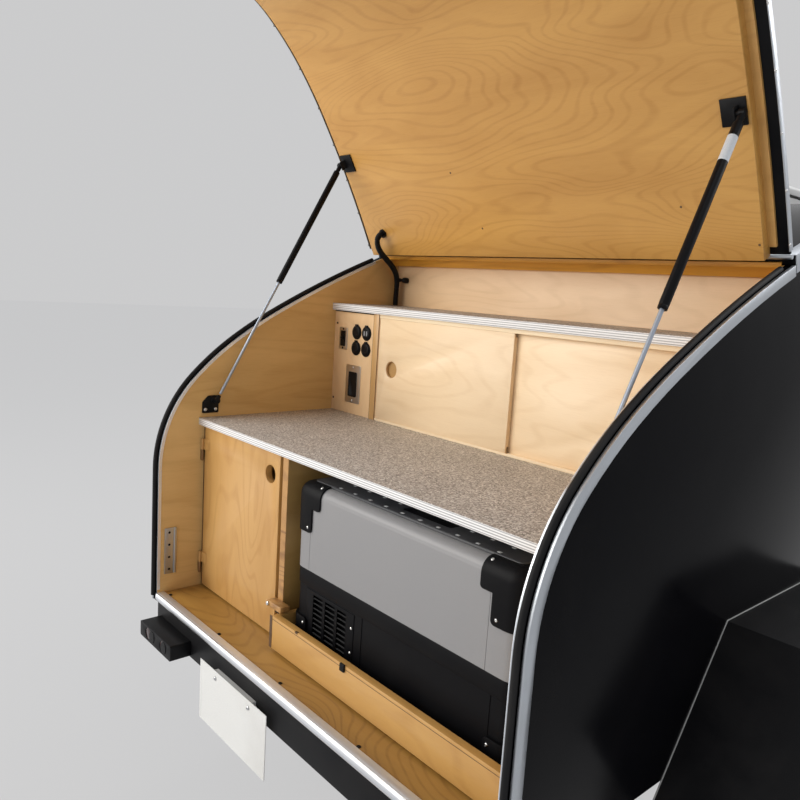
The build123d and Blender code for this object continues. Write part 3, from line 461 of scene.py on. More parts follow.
# Track birch, made paler as painted light on the track's top, which the lamps leave in shade
track_birch_painted_light = birch("track_birch_painted_light", (0.93, 0.76, 0.52), (0.78, 0.57, 0.34), 8.0, 0.2, 0.42)
tray_birch = birch(
    "tray_birch", (0.57, 0.32, 0.095), (0.42, 0.21, 0.05), 12.0, 0.35, 0.42, shift=(0.7, 0.1, 0.0)
)
ceiling_birch = birch("ceiling_birch", (0.72, 0.48, 0.22), (0.56, 0.33, 0.12), 14.0, 0.3, 0.42, ACROSS)
walls = wall_finish()
counter_finish = board_finish("counter_laminate", 1.009, 0.019)
shelf_finish = board_finish("shelf_laminate", 1.332, 0.020)
black_gloss = plain("black_gloss_sheet", (0.003, 0.003, 0.004), 0.22, 0.01, 0.12, 60.0, 0.0001, shine=0.09)
black_coat = plain("black_powder_coat", (0.007, 0.007, 0.008), 0.5, 0.03, 0.15, 900.0, 0.0004, shine=0.13)
# Black plastic, also used as painted shade in the gap at the control panel's top
black_plastic = plain("black_plastic", (0.005, 0.005, 0.006), 0.42, 0.015, 0.1, 1400.0, shine=0.15)
black_satin = plain("black_satin_tube", (0.004, 0.004, 0.005), 0.4, 0.0, 0.05, 40.0, 0.0, shine=0.12)
seal_rubber = plain("seal_rubber", (0.006, 0.006, 0.007), 0.6, 0.04, 0.1, 700.0, 0.0003, shine=0.2)
tyre_rubber = plain("tyre_rubber", (0.022, 0.022, 0.022), 0.75, 0.3, depth=0.0006, shine=0.3)
rim_paint = plain("rim_paint", (0.03, 0.03, 0.032), 0.3, 0.15, 0.1, 500.0, 0.0001, 0.4, 0.3)
case_grey = plain("cool_box_grey", (0.262, 0.258, 0.262), 0.38, 0.04, 0.1, 1600.0, 0.0001)
case_dark = plain("cool_box_dark", (0.003, 0.003, 0.004), 0.46, 0.008, 0.1, 1400.0, shine=0.1)
lid_dark = plain("cool_box_lid", (0.030, 0.032, 0.038), 0.42, 0.06, 0.1, 1500.0)
dot_print = plain("lid_pips", (0.60, 0.61, 0.63), 0.35, 0.0, 0.05)
band_silver = plain("strut_band", (0.62, 0.65, 0.68), 0.35, 0.05, 0.1, 300.0)
white_plastic = plain("white_moulding", (0.72, 0.72, 0.70), 0.4, 0.2, 0.1, 900.0)
lens_red = plain("lens_red", (0.022, 0.003, 0.003), 0.16, 0.03, 0.05, 90.0, 0.0001, coat=0.4)
port_grey = plain("port_grey", (0.32, 0.33, 0.35), 0.35, 0.0, 0.05)
# Light grey of the tube that paints the highlight along the fenders' fold
fender_highlight_grey = plain("fender_painted_highlight", (0.30, 0.30, 0.29), 0.5, 0.05)
aluminium = metal("aluminium", (0.78, 0.79, 0.80), 0.26)
aluminium_side = metal("aluminium_side", (0.50, 0.53, 0.57), 0.34, turn=ACROSS)
aluminium_edge = metal("aluminium_edge", (0.84, 0.87, 0.92), 0.5, 300.0, ACROSS)
sill_aluminium = metal("sill_aluminium", (0.80, 0.82, 0.86), 0.46, 200.0)
steel = metal("bright_steel", (0.66, 0.66, 0.65), 0.2)
rod_steel = metal("rod_steel", (0.40, 0.45, 0.53), 0.42, 4.0)
plate_steel = metal("plate_steel", (0.62, 0.60, 0.57), 0.32, 900.0, UPRIGHT)
zinc = metal("zinc_plate", (0.58, 0.59, 0.60), 0.4, 300.0)
bronze = metal("dark_bronze", (0.30, 0.17, 0.07), 0.45, 300.0)
window_glass = covered(
    "tinted_glass", USED_SURFACE,
    {"Color": (0.09, 0.10, 0.11), "Dust": 0.1, "Gloss": 0.03, "Smear": 0.05, "Grain": 40.0},
    {"Transmission Weight": 0.85, "IOR": 1.5},
)
mattress_cover = covered(
    "mattress_cover", WEAVE, {"Thread": (0.46, 0.45, 0.43), "Shade": (0.27, 0.26, 0.25), "Count": 900.0},
    {"Roughness": 0.9, "Sheen Weight": 0.2}, depth=0.0004, strength=0.5,
)


# Modelling helpers

SIDES = ((-1, "left"), (1, "right"))
REARWARDS = (0, -1, 0)
UPWARDS = (0, 0, 1)
X, Y, Z = range(3)
MERGE_WITHIN = 0.00002


def only(*objs):
    """Selects just these objects, the first one active."""
    bpy.ops.object.select_all(action="DESELECT")
    for obj in objs:
        obj.select_set(True)
    bpy.context.view_layer.objects.active = objs[0]


def linked(name, data):
    """A new object of the scene, with the given data."""
    obj = bpy.data.objects.new(name, data)
    scene.collection.objects.link(obj)
    return obj


def settle(obj):
    """Puts the object's place, turn and size into its mesh."""
    only(obj)
    bpy.ops.object.transform_apply(location=True, rotation=True, scale=True)
    return obj


def box(x, y, z):
    """A box between two X, two Y and two Z values. The X values can stand in either order."""
    x = sorted(x)
    low, high = at(x[0], y[0], z[0]), at(x[1], y[1], z[1])
    bpy.ops.mesh.primitive_cube_add(size=1, location=(low + high) / 2, scale=high - low)
    return settle(bpy.context.object)


def edit_all(obj):
    """Edit mode with the whole mesh selected."""
    only(obj)
    bpy.ops.object.mode_set(mode="EDIT")
    bpy.ops.mesh.select_mode(type="VERT")
    bpy.ops.mesh.select_all(action="SELECT")


def leave_edit():
    bpy.ops.object.mode_set(mode="OBJECT")


def face_outwards(obj):
    """Turns all normals outwards."""
    edit_all(obj)
    bpy.ops.mesh.normals_make_consistent(inside=False)
    leave_edit()
    return obj


def pick(obj, test, kind="FACE"):
    """Edit mode with just the faces or edges that pass the test of their middle and their way."""
    only(obj)
    bpy.ops.object.mode_set(mode="EDIT")
    bpy.ops.mesh.select_mode(type=kind)
    bpy.ops.mesh.select_all(action="DESELECT")
    leave_edit()
    mesh = obj.data
    if kind == "FACE":
        for face in mesh.polygons:
            face.select = test(face.center, face.normal)
    else:
        for edge in mesh.edges:
            ends = [mesh.vertices[index].co for index in edge.vertices]
            edge.select = test((ends[0] + ends[1]) / 2, (ends[1] - ends[0]).normalized())
    bpy.ops.object.mode_set(mode="EDIT")


def along(axis):
    """A test for what lies along an axis."""
    return lambda middle, way: abs(way[axis]) > 0.9


def rear_face(middle, way):
    """A test for faces that look to the rear."""
    return way.y < -0.9


def outer_face(middle, way):
    """A test for faces that look away from the middle of the trailer, sideways."""
    return abs(way.x) > 0.99 and middle.x * way.x > 0


def inset(obj, test, border, depth=0.0, single=False):
    """Insets the picked faces, and moves what is inside by depth along their normals."""
    pick(obj, test)
    bpy.ops.mesh.inset(thickness=border / 1000, depth=depth / 1000, use_individual=single)
    leave_edit()
    return obj


def round_edges(obj, test, width, segments=4):
    """Bevels the picked edges."""
    pick(obj, test, "EDGE")
    bpy.ops.mesh.bevel(offset=width / 1000, segments=segments, affect="EDGES")
    leave_edit()
    return obj


def apply(obj, kind, **settings):
    """Adds a modifier with its settings, and makes its result the object's mesh."""
    modifier = obj.modifiers.new(kind, kind)
    for name, value in settings.items():
        setattr(modifier, name, value)
    only(obj)
    bpy.ops.object.modifier_apply(modifier=modifier.name)
    return obj


def ease(obj, width, segments=2, angle=28.0):
    """Takes the sharpness off all corners."""
    return apply(
        obj, "BEVEL", width=width / 1000, segments=segments, limit_method="ANGLE", angle_limit=radians(angle)
    )


def combine(obj, operation, *others):
    """Joins the others to the object, takes them out of it, or keeps what it shares with them."""
    for other in others:
        apply(obj, "BOOLEAN", operation=operation, solver="EXACT", object=other)
        bpy.data.objects.remove(other)
    return obj


def smooth(obj, angle=35.0):
    only(obj)
    bpy.ops.object.shade_smooth_by_angle(angle=radians(angle))
    return obj


def aim(direction):
    """The turn that points +Z along a direction."""
    return Vector((0, 0, 1)).rotation_difference(Vector(direction)).to_matrix().to_4x4()


def circle(sides, radius, fill="NOTHING"):
    """A flat ring of points, or a disc, in edit mode with everything selected."""
    bpy.ops.mesh.primitive_circle_add(vertices=sides, radius=radius, fill_type=fill)
    edit_all(bpy.context.object)
    return bpy.context.object


def extrude(rise):
    """Extrudes what is selected upwards by millimetres."""
    bpy.ops.mesh.extrude_region_move(TRANSFORM_OT_translate={"value": (0, 0, rise / 1000)})


def turned(foot, direction, profile, sides=32):
    """A lathe-turned piece: from foot along direction, with (length, radius) steps, closed at both ends."""
    start = profile[0][0]
    obj = circle(sides, profile[0][1] / 1000, "NGON")
    for before, step in zip(profile, profile[1:]):
        extrude(step[0] - before[0])
        size = step[1] / before[1]
        bpy.ops.transform.resize(value=(size, size, 1), center_override=(0, 0, (step[0] - start) / 1000))
    leave_edit()
    face_outwards(obj)
    obj.matrix_world = Matrix.Translation(foot) @ aim(direction) @ Matrix.Translation((0, 0, start / 1000))
    return settle(obj)


def spun(section, middle, steps):
    """A closed section of (x, radius) points spun round the X axis through middle."""
    obj = circle(len(section), 1)
    leave_edit()
    for vertex, point in zip(obj.data.vertices, section):
        vertex.co = (point[0] / 1000, 0, point[1] / 1000)
    edit_all(obj)
    bpy.ops.mesh.spin(steps=steps, angle=2 * pi, center=(0, 0, 0), axis=(1, 0, 0))
    bpy.ops.mesh.select_all(action="SELECT")
    bpy.ops.mesh.remove_doubles(threshold=MERGE_WITHIN)
    leave_edit()
    face_outwards(obj)
    obj.location = middle
    return settle(obj)


def line_along(kind, points):
    """A line of the given kind with the points of the frame as its controls, and its spline."""
    line = bpy.data.curves.new("line", "CURVE")
    line.dimensions = "3D"
    line.resolution_u = 24
    run = line.splines.new(kind)
    run.points.add(len(points) - 1)
    for knot, point in zip(run.points, points):
        knot.co = (*point, 1)
    return linked("line", line), run


def tube_along(points, radius):
    """A round strip along points of the frame."""
    obj, _ = line_along("POLY", points)
    obj.data.bevel_depth = radius / 1000
    obj.data.bevel_resolution = 4
    obj.data.use_fill_caps = True
    only(obj)
    bpy.ops.object.convert(target="MESH")
    return bpy.context.object


def flat_strip(x, points, thick):
    """A flat strip of sheet between two X values, along (y, z) points."""
    bpy.ops.mesh.primitive_grid_add(x_subdivisions=1, y_subdivisions=len(points) - 1, size=1)
    strip = bpy.context.object
    low_x, high_x = sorted(x)
    low = min(vertex.co.x for vertex in strip.data.vertices)
    rows = sorted({round(vertex.co.y, 6) for vertex in strip.data.vertices})
    for vertex in strip.data.vertices:
        side = low_x if vertex.co.x < low + 0.5 else high_x
        vertex.co = at(side, *points[rows.index(round(vertex.co.y, 6))])
    return face_outwards(apply(strip, "SOLIDIFY", thickness=thick / 1000, offset=0))


def dressed(name, pieces, finish, body="root", angle=35.0, replaces=()):
    """Joins pieces to one with a name, a finish and a body."""
    only(*pieces)
    if len(pieces) > 1:
        bpy.ops.object.join()
    obj = pieces[0]
    obj.name = name
    obj.data.materials.clear()
    obj.data.materials.append(finish)
    smooth(obj, angle)
    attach(obj, body)
    if replaces:
        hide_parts(*replaces)
    return obj


BODY_OF = {name: body for body, names in frame["record"]["behaviour"]["bodies"].items() for name in names}


def merged_copy(node):
    """A copy of a CAD node's mesh as a piece of its own, with its loose triangles merged."""
    obj = linked(node + "_piece", nodes[node].data.copy())
    edit_all(obj)
    bpy.ops.mesh.remove_doubles(threshold=MERGE_WITHIN)
    bpy.ops.mesh.dissolve_limited(angle_limit=radians(0.5))
    leave_edit()
    return obj


def facing(direction, points):
    """Places for stamped pieces: points in millimetres, all with one direction."""
    return [(at(*point), direction) for point in points]


def stamped(name, master, places, finish, body="root"):
    """Copies of a small piece, drawn at the origin with +Z outwards, at (point, direction) places."""
    copies = []
    for point, direction in places:
        copy = linked(name, master.data.copy())
        copy.data.transform(Matrix.Translation(point) @ aim(direction))
        copies.append(copy)
    return dressed(name, copies, finish, body)


def screw_head(radius, height):
    """A domed screw head with a socket."""
    profile = [(-0.2, radius), (0.25 * height, radius), (0.7 * height, 0.82 * radius), (height, 0.5 * radius)]
    head = turned(Vector((0, 0, 0)), UPWARDS, profile, 12)
    inset(head, lambda middle, way: way.z > 0.9 and middle.z > 0.9 * height / 1000, 0.1 * radius)
    top = max(face.center.z for face in head.data.polygons)
    pick(head, lambda middle, way: way.z > 0.9 and middle.z > top - 1e-6 and hypot(middle.x, middle.y) < 1e-5)
    extrude(-0.45 * height)
    leave_edit()
    return head


small_screw = screw_head(3.4, 1.6)
big_screw = screw_head(5.0, 2.6)

# Camera at the photograph's place

look = Vector((-0.74067, 0.65534, -0.14809)).normalized()
level = look.cross(Vector((0, 0, 1))).normalized()
lean = radians(3.65)
right = level * cos(lean) + level.cross(look) * sin(lean)
above = right.cross(look)
lens = bpy.data.cameras.new("photo_camera")
lens.lens = 33.757
lens.sensor_width = 36.0
lens.clip_end = 60.0
camera = linked("photo_camera", lens)
view_turn = Matrix((right, above, -look)).transposed().to_4x4()
camera.matrix_world = Matrix.Translation((1.2474, -2.4728, 1.4102)) @ view_turn
scene.camera = camera

# Loom, the only cord, from the hatch lining to a hole in the shelf

LOOM_RADIUS = 8.5
LOOM_SIDES = 20
LOOM_HEAD_Y = 648.0
LOOM_HEAD_X = -518.0
LOOM_STRAIGHT = 22.0
loom_exit = opened(*on_edge(LOOM_HEAD_Y, -14.3)[:2])
exit_turn = radians(on_edge(LOOM_HEAD_Y)[2]) - HATCH_TURN
exit_way = (sin(exit_turn), -cos(exit_turn))
LOOM_ROUTE = [
    (LOOM_HEAD_X, *loom_exit),
    (LOOM_HEAD_X, loom_exit[0] + exit_way[0] * LOOM_STRAIGHT, loom_exit[1] + exit_way[1] * LOOM_STRAIGHT),
    (LOOM_HEAD_X, 621.0, 1532.0),
    (-520.0, 639.0, 1509.0),
    (-530.0, 676.0, 1488.0),
    (-552.0, 720.0, 1468.0),
    (-576.0, 755.0, 1448.0),
    (-585.0, 767.0, 1420.0),
    (-585.0, 765.0, 1390.0),
    (-585.0, 765.0, SHELF + 0.3),
]


def line_points(points):
    """Points along the NURBS line of the given controls."""
    guide, run = line_along("NURBS", points)
    run.order_u = 3
    run.use_endpoint_u = True
    bpy.context.view_layer.update()
    mesh = bpy.data.meshes.new_from_object(guide.evaluated_get(bpy.context.evaluated_depsgraph_get()))
    path = [vertex.co.copy() for vertex in mesh.vertices]
    bpy.data.objects.remove(guide)
    bpy.data.meshes.remove(mesh)
    return path


def spread(path, step):
    """Points a step apart along a line of points, with the way of the line at each."""
    spots = []
    left = 0.0
    for first, second in zip(path, path[1:]):
        run = (second - first).length
        if run == 0:
            continue
        way = (second - first) / run
        while left <= run:
            spots.append((first + way * left, way))
            left += step
        left -= run
    return spots


def corrugated(path, radius, pitch):
    """A corrugated sleeve round a line of points: rings joined into one tube."""
    sizes = (1.0, 1.0, 0.86, 0.86)
    spots = spread(path, pitch / len(sizes) / 1000)
    obj = circle(LOOM_SIDES, radius / 1000, "NGON")
    for _ in spots[1:]:
        extrude(1.0)
    leave_edit()
    vertices = obj.data.vertices
    order = sorted(range(len(vertices)), key=lambda index: vertices[index].co.z)
    for ring, (point, way) in enumerate(spots):
        place = Matrix.Translation(point) @ aim(way)
        size = sizes[ring % len(sizes)]
        for index in order[ring * LOOM_SIDES:(ring + 1) * LOOM_SIDES]:
            flat = vertices[index].co
            vertices[index].co = place @ Vector((flat.x * size, flat.y * size, 0))
    return face_outwards(obj)


loom_path = line_points([at(*point) for point in LOOM_ROUTE])
loom = corrugated(loom_path, LOOM_RADIUS, 3.4)
loom.name = "wire_loom_sleeve"
loom.data.materials.append(black_plastic)
smooth(loom, 60)
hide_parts("wire_loom")
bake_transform(loom)

# CAD nodes with eased corners, in place of them: node, finish and width of the eased edge

for node, finish, width in (
    ("side_walls", walls, 0.6), ("floor_deck", floor_birch_painted_shade, 0.6), ("bulkhead", bulkhead_birch, 0.6),
    ("roof_spar", spar_birch, 0.8), ("ceiling_board", ceiling_birch, 0.6),
    ("galley_counter", counter_finish, 0.5), ("galley_shelf", shelf_finish, 0.5),
    ("cupboard_divider", divider_birch_painted_shade, 0.8), ("control_panel", panel_birch, 0.6),
    ("slide_tracks", track_birch_painted_light, 0.4), ("sliding_door_left", slide_birch, 0.8),
    ("sliding_door_right", slide_birch, 0.8), ("cupboard_door", cupboard_birch, 1.2),
    ("latch_block", latch_wood_and_painted_shade, 1.5), ("fridge_tray", tray_birch, 0.8), ("hatch_lining", lining_birch, 1.0),
    ("hatch_shell", black_gloss, 1.5), ("roof_shell", black_gloss, 1.5), ("sill_trim", aluminium, 0.7),
    ("edge_trims", aluminium_side, 0.5), ("hatch_trim", aluminium_side, 0.5),
    ("hatch_hinge", aluminium_side, 0.5), ("cupboard_hinges", bronze, 0.4), ("slide_rails", zinc, 0.4),
    ("chassis", black_coat, 2.0), ("tongue", black_coat, 2.0), ("coupler", black_coat, 2.0),
    ("jack_tube", zinc, 1.0), ("jack_leg", zinc, 1.0), ("axle", black_coat, 1.5),
    ("fenders", black_coat, 1.2),
    ("cabin_door_left", black_gloss, 1.5), ("cabin_door_right", black_gloss, 1.5),
    ("door_window_left", window_glass, 0.5), ("door_window_right", window_glass, 0.5),
    ("door_fittings_left", black_plastic, 0.8), ("door_fittings_right", black_plastic, 0.8),
    ("door_frames", aluminium, 0.5), ("roof_vent", white_plastic, 1.5), ("tail_lamps", black_plastic, 1.0),
    ("tail_lenses", lens_red, 1.0), ("hatch_fittings", black_plastic, 0.6),
    ("wheel_rim_left", rim_paint, 1.0), ("wheel_rim_right", rim_paint, 1.0),
):
    piece = ease(merged_copy(node), width)
    dressed(node + "_piece", [piece], finish, BODY_OF[node], replaces=(node,))

# Wall edges: a bare aluminium strip inside a bulb seal


def edge_run(offset, low_z, last_y):
    """The wall edge's (y, z) points, from a height at the rear to a place on the roof."""
    return [point[:2] for point in edge_points(offset, 16.0) if point[1] >= low_z and point[0] <= last_y]


strips = []
faces = []
bulbs = []
for side in (-1, 1):
    strips.append(flat_strip((side * 609.6, side * 615.4), edge_run(0.4, 530.0, 705.0), 0.8))
    faces.append(flat_strip((side * 608.5, side * 609.6), edge_run(-3.2, 553.0, 700.0), 8.0))
    path = [at(side * 622.5, *point) for point in edge_run(5.6, 532.0, 702.0)]
    bulbs.append(tube_along(path, 6.0))
dressed("wall_edge_strips", strips, aluminium_side, "root")
dressed("wall_edge_faces", faces, aluminium_edge, "root")
dressed("wall_bulb_seals", bulbs, seal_rubber, "root", 60, ("hatch_seals",))

# Hatch edges: a wooden rib's face beside the lining

ribs = []
for side in (-1, 1):
    run = [opened(*point) for point in edge_run(9.2, 575.0, 690.0)]
    ribs.append(flat_strip((side * 597.4, side * 613.0), run, 5.6))
dressed("hatch_edge_ribs", ribs, tray_birch, "hatch")

# Gas struts: black tube with a blank band, steel rod, moulded ends

strut_head = opened(*on_edge(STRUT_HEAD_Y, -28.0)[:2])
strut_run = (STRUT_FOOT[0] - strut_head[0], STRUT_FOOT[1] - strut_head[1])
strut_open = hypot(*strut_run)
strut_way = Vector((0, strut_run[0] / strut_open, strut_run[1] / strut_open))
BARREL = [(20, 5.0), (22, 8.2), (25, 9.0), (388, 9.0), (391, 8.4), (392, 8.9), (397, 8.6), (398, 6.0)]


def ball_end(ball, way, neck_end=25):
    """A moulded socket over a ball, its neck pointing along the strut."""
    cup_foot = ball - Vector((0.0062, 0, 0))
    cup = turned(cup_foot, (1, 0, 0), [(0, 6.5), (0.8, 8.2), (11.6, 8.2), (12.4, 6.5)], 24)
    neck = turned(ball, way, [(3, 6.2), (neck_end - 11, 6.2), (neck_end - 5, 5.4), (neck_end, 5.0)], 20)
    return [cup, neck]


for side, word in SIDES:
    head = at(side * STRUT_X, *strut_head)
    foot = at(side * STRUT_X, *STRUT_FOOT)
    barrel = [turned(head, strut_way, BARREL), *ball_end(head, strut_way)]
    tube = "strut_tube_" + word
    dressed("strut_barrel_" + word, barrel, black_satin, tube, 30, (tube,))
    if side > 0:
        band = turned(head, strut_way, [(52, 9.1), (52.1, 9.3), (104, 9.3), (104.1, 9.1)])
        combine(band, "DIFFERENCE", turned(head, strut_way, [(40, 8.8), (120, 8.8)]))
        dressed("strut_band", [band], band_silver, tube)
    piston = turned(head, strut_way, [(386, 4.0), (strut_open - 20, 4.0)], 24)
    rod = "strut_rod_" + word
    dressed("strut_piston_" + word, [piston], rod_steel, rod, 35, (rod,))
    dressed("strut_foot_" + word, ball_end(foot, -strut_way, 16), black_plastic, rod, 30)

# Strut brackets and catch plates on the walls

STUD = [(0, 10.0), (4.5, 9.4), (6.5, 7.0), (7, 5.2), (11.6, 5.0)]


def cut_corner(middle, way):
    """A test for the bracket's upper corner at the rear."""
    return abs(way.x) > 0.9 and middle.z > 1.08 and middle.y < rear + 0.13


brackets = []
catches = []
bracket_screws = []
catch_screws = []
for side in (-1, 1):
    inner = side * HALF_IN
    inwards = (-side, 0, 0)
    bracket = box((inner, inner - side * 3.2), (118, 166), (1039, 1087))
    round_edges(bracket, cut_corner, 17, 1)
    round_edges(bracket, along(X), 3, 3)
    brackets += [ease(bracket, 0.8), turned(at(inner, *STRUT_FOOT), inwards, STUD, 24)]
    bracket_screws += facing(inwards, [(inner - side * 3.1, y, 1049) for y in (127, 157)])
    catch = box((inner, inner - side * 2.4), (18, 51), (601, 730))
    ridge = box((inner - side * 2.0, inner - side * 5.0), (44, 51), (601, 730))
    catches += [ease(round_edges(catch, along(X), 2, 3), 0.6), ease(ridge, 1.2, 3)]
    catch_screws += facing(inwards, [(inner - side * 2.3, 31, z) for z in (614, 648, 683, 717)])
dressed("strut_wall_brackets", brackets, black_plastic, "root", 35, ("wall_fittings",))
dressed("catch_plates", catches, aluminium_side, "root")
stamped("bracket_screws", big_screw, bracket_screws, steel, "root")
stamped("catch_screws", small_screw, catch_screws, black_plastic, "root")

# Control panel: four covered sockets, a steel plate with a black insert, a small switch plate, and a black
# strip of painted shade in the gap under the shelf

COLLAR = [(0, 21.0), (1.6, 21.0), (2.6, 20.0), (2.7, 16.5)]
SOCKET_CAP = [(2.0, 17.0), (4.4, 17.0), (5.2, 15.8), (5.4, 9.0), (4.6, 8.0)]
LEVER = [(0, 4.5), (2, 4.5), (4, 3.2), (9, 3.6), (10, 2.4)]
sockets = []
for x, z in ((-499.0, 1272.0), (-453.0, 1272.0), (-499.0, 1225.0), (-453.0, 1225.0)):
    centre = at(x, PANEL_Y, z)
    sockets.append(turned(centre, REARWARDS, COLLAR, 40))
    sockets.append(turned(centre, REARWARDS, SOCKET_CAP, 36))
    sockets.append(ease(box((x - 6, x + 6), (PANEL_Y - 5, PANEL_Y), (z + 15, z + 23.5)), 1.5, 3))
dressed("socket_covers", sockets, black_plastic, "root", 35, ("control_fittings",))
ports = []
for x in (-458.5, -447.5):
    port = box((x - 2.6, x + 2.6), (PANEL_Y - 5.9, PANEL_Y - 4), (1265, 1279))
    ports.append(ease(inset(port, rear_face, 1.0, -1.0), 0.4))
dressed("usb_ports", ports, port_grey, "root")
plate = box((-539.5, -470.5), (PANEL_Y - 2.2, PANEL_Y), (1061, 1174))
ease(round_edges(plate, along(Y), 5), 0.7, 3)
switch_plate = box((-583, -543), (PANEL_Y - 2.0, PANEL_Y), (1216, 1282))
ease(round_edges(switch_plate, along(Y), 4), 0.6, 3)
dressed("panel_plates", [plate, switch_plate], plate_steel, "root")
insert = box((-524, -486), (PANEL_Y - 4.2, PANEL_Y - 1), (1080, 1154))
inset(round_edges(insert, along(Y), 4), rear_face, 4.5, -2.0)
inset(insert, lambda middle, way: way.y < -0.9 and middle.y > rear + 0.5465, 3.0, 1.2)
rocker = box((-574, -552), (PANEL_Y - 4.0, PANEL_Y - 1), (1226, 1272))
inset(round_edges(rocker, along(Y), 2, 3), rear_face, 3.0, -1.2)
lever = turned(at(-563, PANEL_Y - 2, 1249), (0, -1, 0.35), LEVER, 16)
# Painted shade: a black strip filling the shaded gap between the panel's top and the shelf
panel_top_shade_gap = box((-609.3, -421.2), (PANEL_Y - 0.6, PANEL_Y + 2), (1328, 1331.8))
panel_bits_and_shade_gap = [ease(insert, 0.5), ease(rocker, 0.5), lever, panel_top_shade_gap]
dressed("panel_parts_and_shade_gap", panel_bits_and_shade_gap, black_plastic, "root")
panel_screws = facing(REARWARDS, [
    (-596.5, PANEL_Y, 1292.5), (-600.4, PANEL_Y, 1064.7),
    (-563, PANEL_Y - 1.9, 1221), (-563, PANEL_Y - 1.9, 1277),
])
stamped("panel_screws", small_screw, panel_screws, black_plastic, "root")
plate_screws = facing(REARWARDS, [(-505, PANEL_Y - 2.1, z) for z in (1068, 1167)])
stamped("plate_screws", small_screw, plate_screws, steel, "root")

# Stile beside the panel, light wood in the sliding doors' finger cups, painted shade on the divider's front
# edge and in the gaps by the stile and the cupboard door, dark bands on the tray

stile = ease(box((-419.4, -397.1), (PANEL_Y - 3.6, PANEL_Y - 1.9), (1028.3, 1331.7)), 0.4)
dressed("stile_face", [stile], stile_birch, "root")
for word, x, y in (("left", -336.0, 555.9), ("right", 550.0, 568.9)):
    cup = turned(at(x, y + 5.0, 1181), REARWARDS, [(0, 25.5), (5.0, 25.5)], 40)
    hollow = turned(at(x, y + 3.6, 1181), REARWARDS, [(0, 22.9), (9.0, 22.9)], 40)
    combine(cup, "DIFFERENCE", hollow)
    dressed("finger_cup_" + word, [cup], cup_birch, BODY_OF["sliding_door_" + word])
batten = box((93.5, 99.8), (555.8, 562.4), (1048, 1312))
dressed("door_batten", [batten], slide_birch, BODY_OF["sliding_door_left"])
# Painted shade: a dark strip on the divider's front edge, which lies in the shadow of the tray's front
divider_painted_shade = box((-201.8, -180.2), (DOOR_Y - 1.2, DOOR_Y + 0.2), (552.2, 1008.8))
dressed("divider_painted_shade", [divider_painted_shade], latch_wood_and_painted_shade, "root")
# Painted shade: thin dark strips in the gaps beside the stile and between the wall and the cupboard door
bands = []
for x in ((-420.9, -419.4), (-397.1, -395.7)):
    bands.append(box(x, (PANEL_Y - 3.0, PANEL_Y - 1.9), (1028.3, 1331.7)))
bands.append(box((-609.4, -604.6), (127.0, 129.0), (552.2, 1008)))
dressed("painted_shade_gaps", bands, dark_wood_and_painted_shade, "root")
tray_band = box((-173.3, -163), (84.4, 85.4), (558.3, 636.8))
tray_line = box((-163, 602), (84.7, 85.2), (629.2, 630.4))
notch = box((-68, -58), (84.5, 90), (633.2, 637.3))
dressed("tray_edge_bands", [tray_band, tray_line, notch], dark_wood_and_painted_shade, "fridge_slide")
nosing = box((-609.3, 609.3), (-5.0, 20.3), (530.2, 552.8))
round_edges(nosing, lambda middle, way: abs(way.x) > 0.9 and middle.y < rear, 9.5, 8)
round_edges(nosing, lambda middle, way: abs(way.x) > 0.99 and middle.y > rear + 0.02 and middle.z > 0.55, 2.0)
dressed("sill_nosing", [nosing], sill_aluminium, "root", 50)

# Loom clamp on the bulkhead

clamp = turned(at(-583, 767, 1427), UPWARDS, [(0, 10.0), (1, 10.6), (11, 10.6), (12, 10.0)], 28)
arm = ease(box((-583, -563), (770, 778), (1428, 1438)), 1.5, 3)
BOSS = [(0, 8.6), (13, 8.6), (16.5, 7.6), (18.6, 5.4), (19.4, 2.6)]
boss = turned(at(-563, 790, 1433), REARWARDS, BOSS, 28)
dressed("loom_clamp", [clamp, arm, boss], black_plastic, "root")

# Cool box: grey case with two seams, charcoal lid, dark foot with a grille, corner guards

BOX_X = (-140.0, 524.0)
BOX_Y = (125.0, 525.0)
BOX_CORNER = 30.0
BOX_SHOULDER = 24.0


def rounded_case(shrink, z, shoulder=0.0):
    """A block inside the cool box's outline, with its rounded corners and top edges."""
    case = box((BOX_X[0] + shrink, BOX_X[1] - shrink), (BOX_Y[0] + shrink, BOX_Y[1] - shrink), z)
    round_edges(case, along(Z), BOX_CORNER - shrink, 8)
    if shoulder:
        top = z[1] / 1000 - 0.0005
        round_edges(case, lambda middle, way: middle.z > top and abs(way.z) < 0.5, shoulder - shrink, 8)
    return case


def at_origin(obj):
    """Moves a piece from the body's rear plane to the frame's origin."""
    obj.data.transform(Matrix.Translation((0, -rear, 0)))
    return obj


def grille_holes():
    """Cutters for the three columns of the grille."""
    return [box(x, (120, 138), (618, 716)) for x in ((-62, -26), (-17, 19), (28, 60))]


case = rounded_case(0, (767, 962), BOX_SHOULDER)
combine(case, "DIFFERENCE", *[box((x, x + 0.9), (120, 126.4), (760, 990)) for x in (-83.5, 454.0)])
dressed("cool_box_case", [case], case_grey, "fridge_slide", 30, ("fridge_body",))
skirt = combine(rounded_case(2.8, (572.2, 768)), "DIFFERENCE", *grille_holes())
belt = ease(rounded_case(0.6, (729, 766.4)), 1.8)
grille = ease(box((-89, 87), (126.2, 132), (600, 724)), 1.2, 2, 40)
combine(grille, "DIFFERENCE", *grille_holes())
slats = []
tilt = Matrix.Rotation(radians(-35), 4, "X")
for row in range(8):
    slat = at_origin(box((-65, 63), (0, 8), (-1.3, 1.3)))
    slat.data.transform(Matrix.Translation(at(0, 127.5, 626.5 + row * 11.7)) @ tilt)
    slats.append(slat)
lines = [box((x, x + 1.2), (126.6, 130), (576, 727)) for x in (112, 470)]
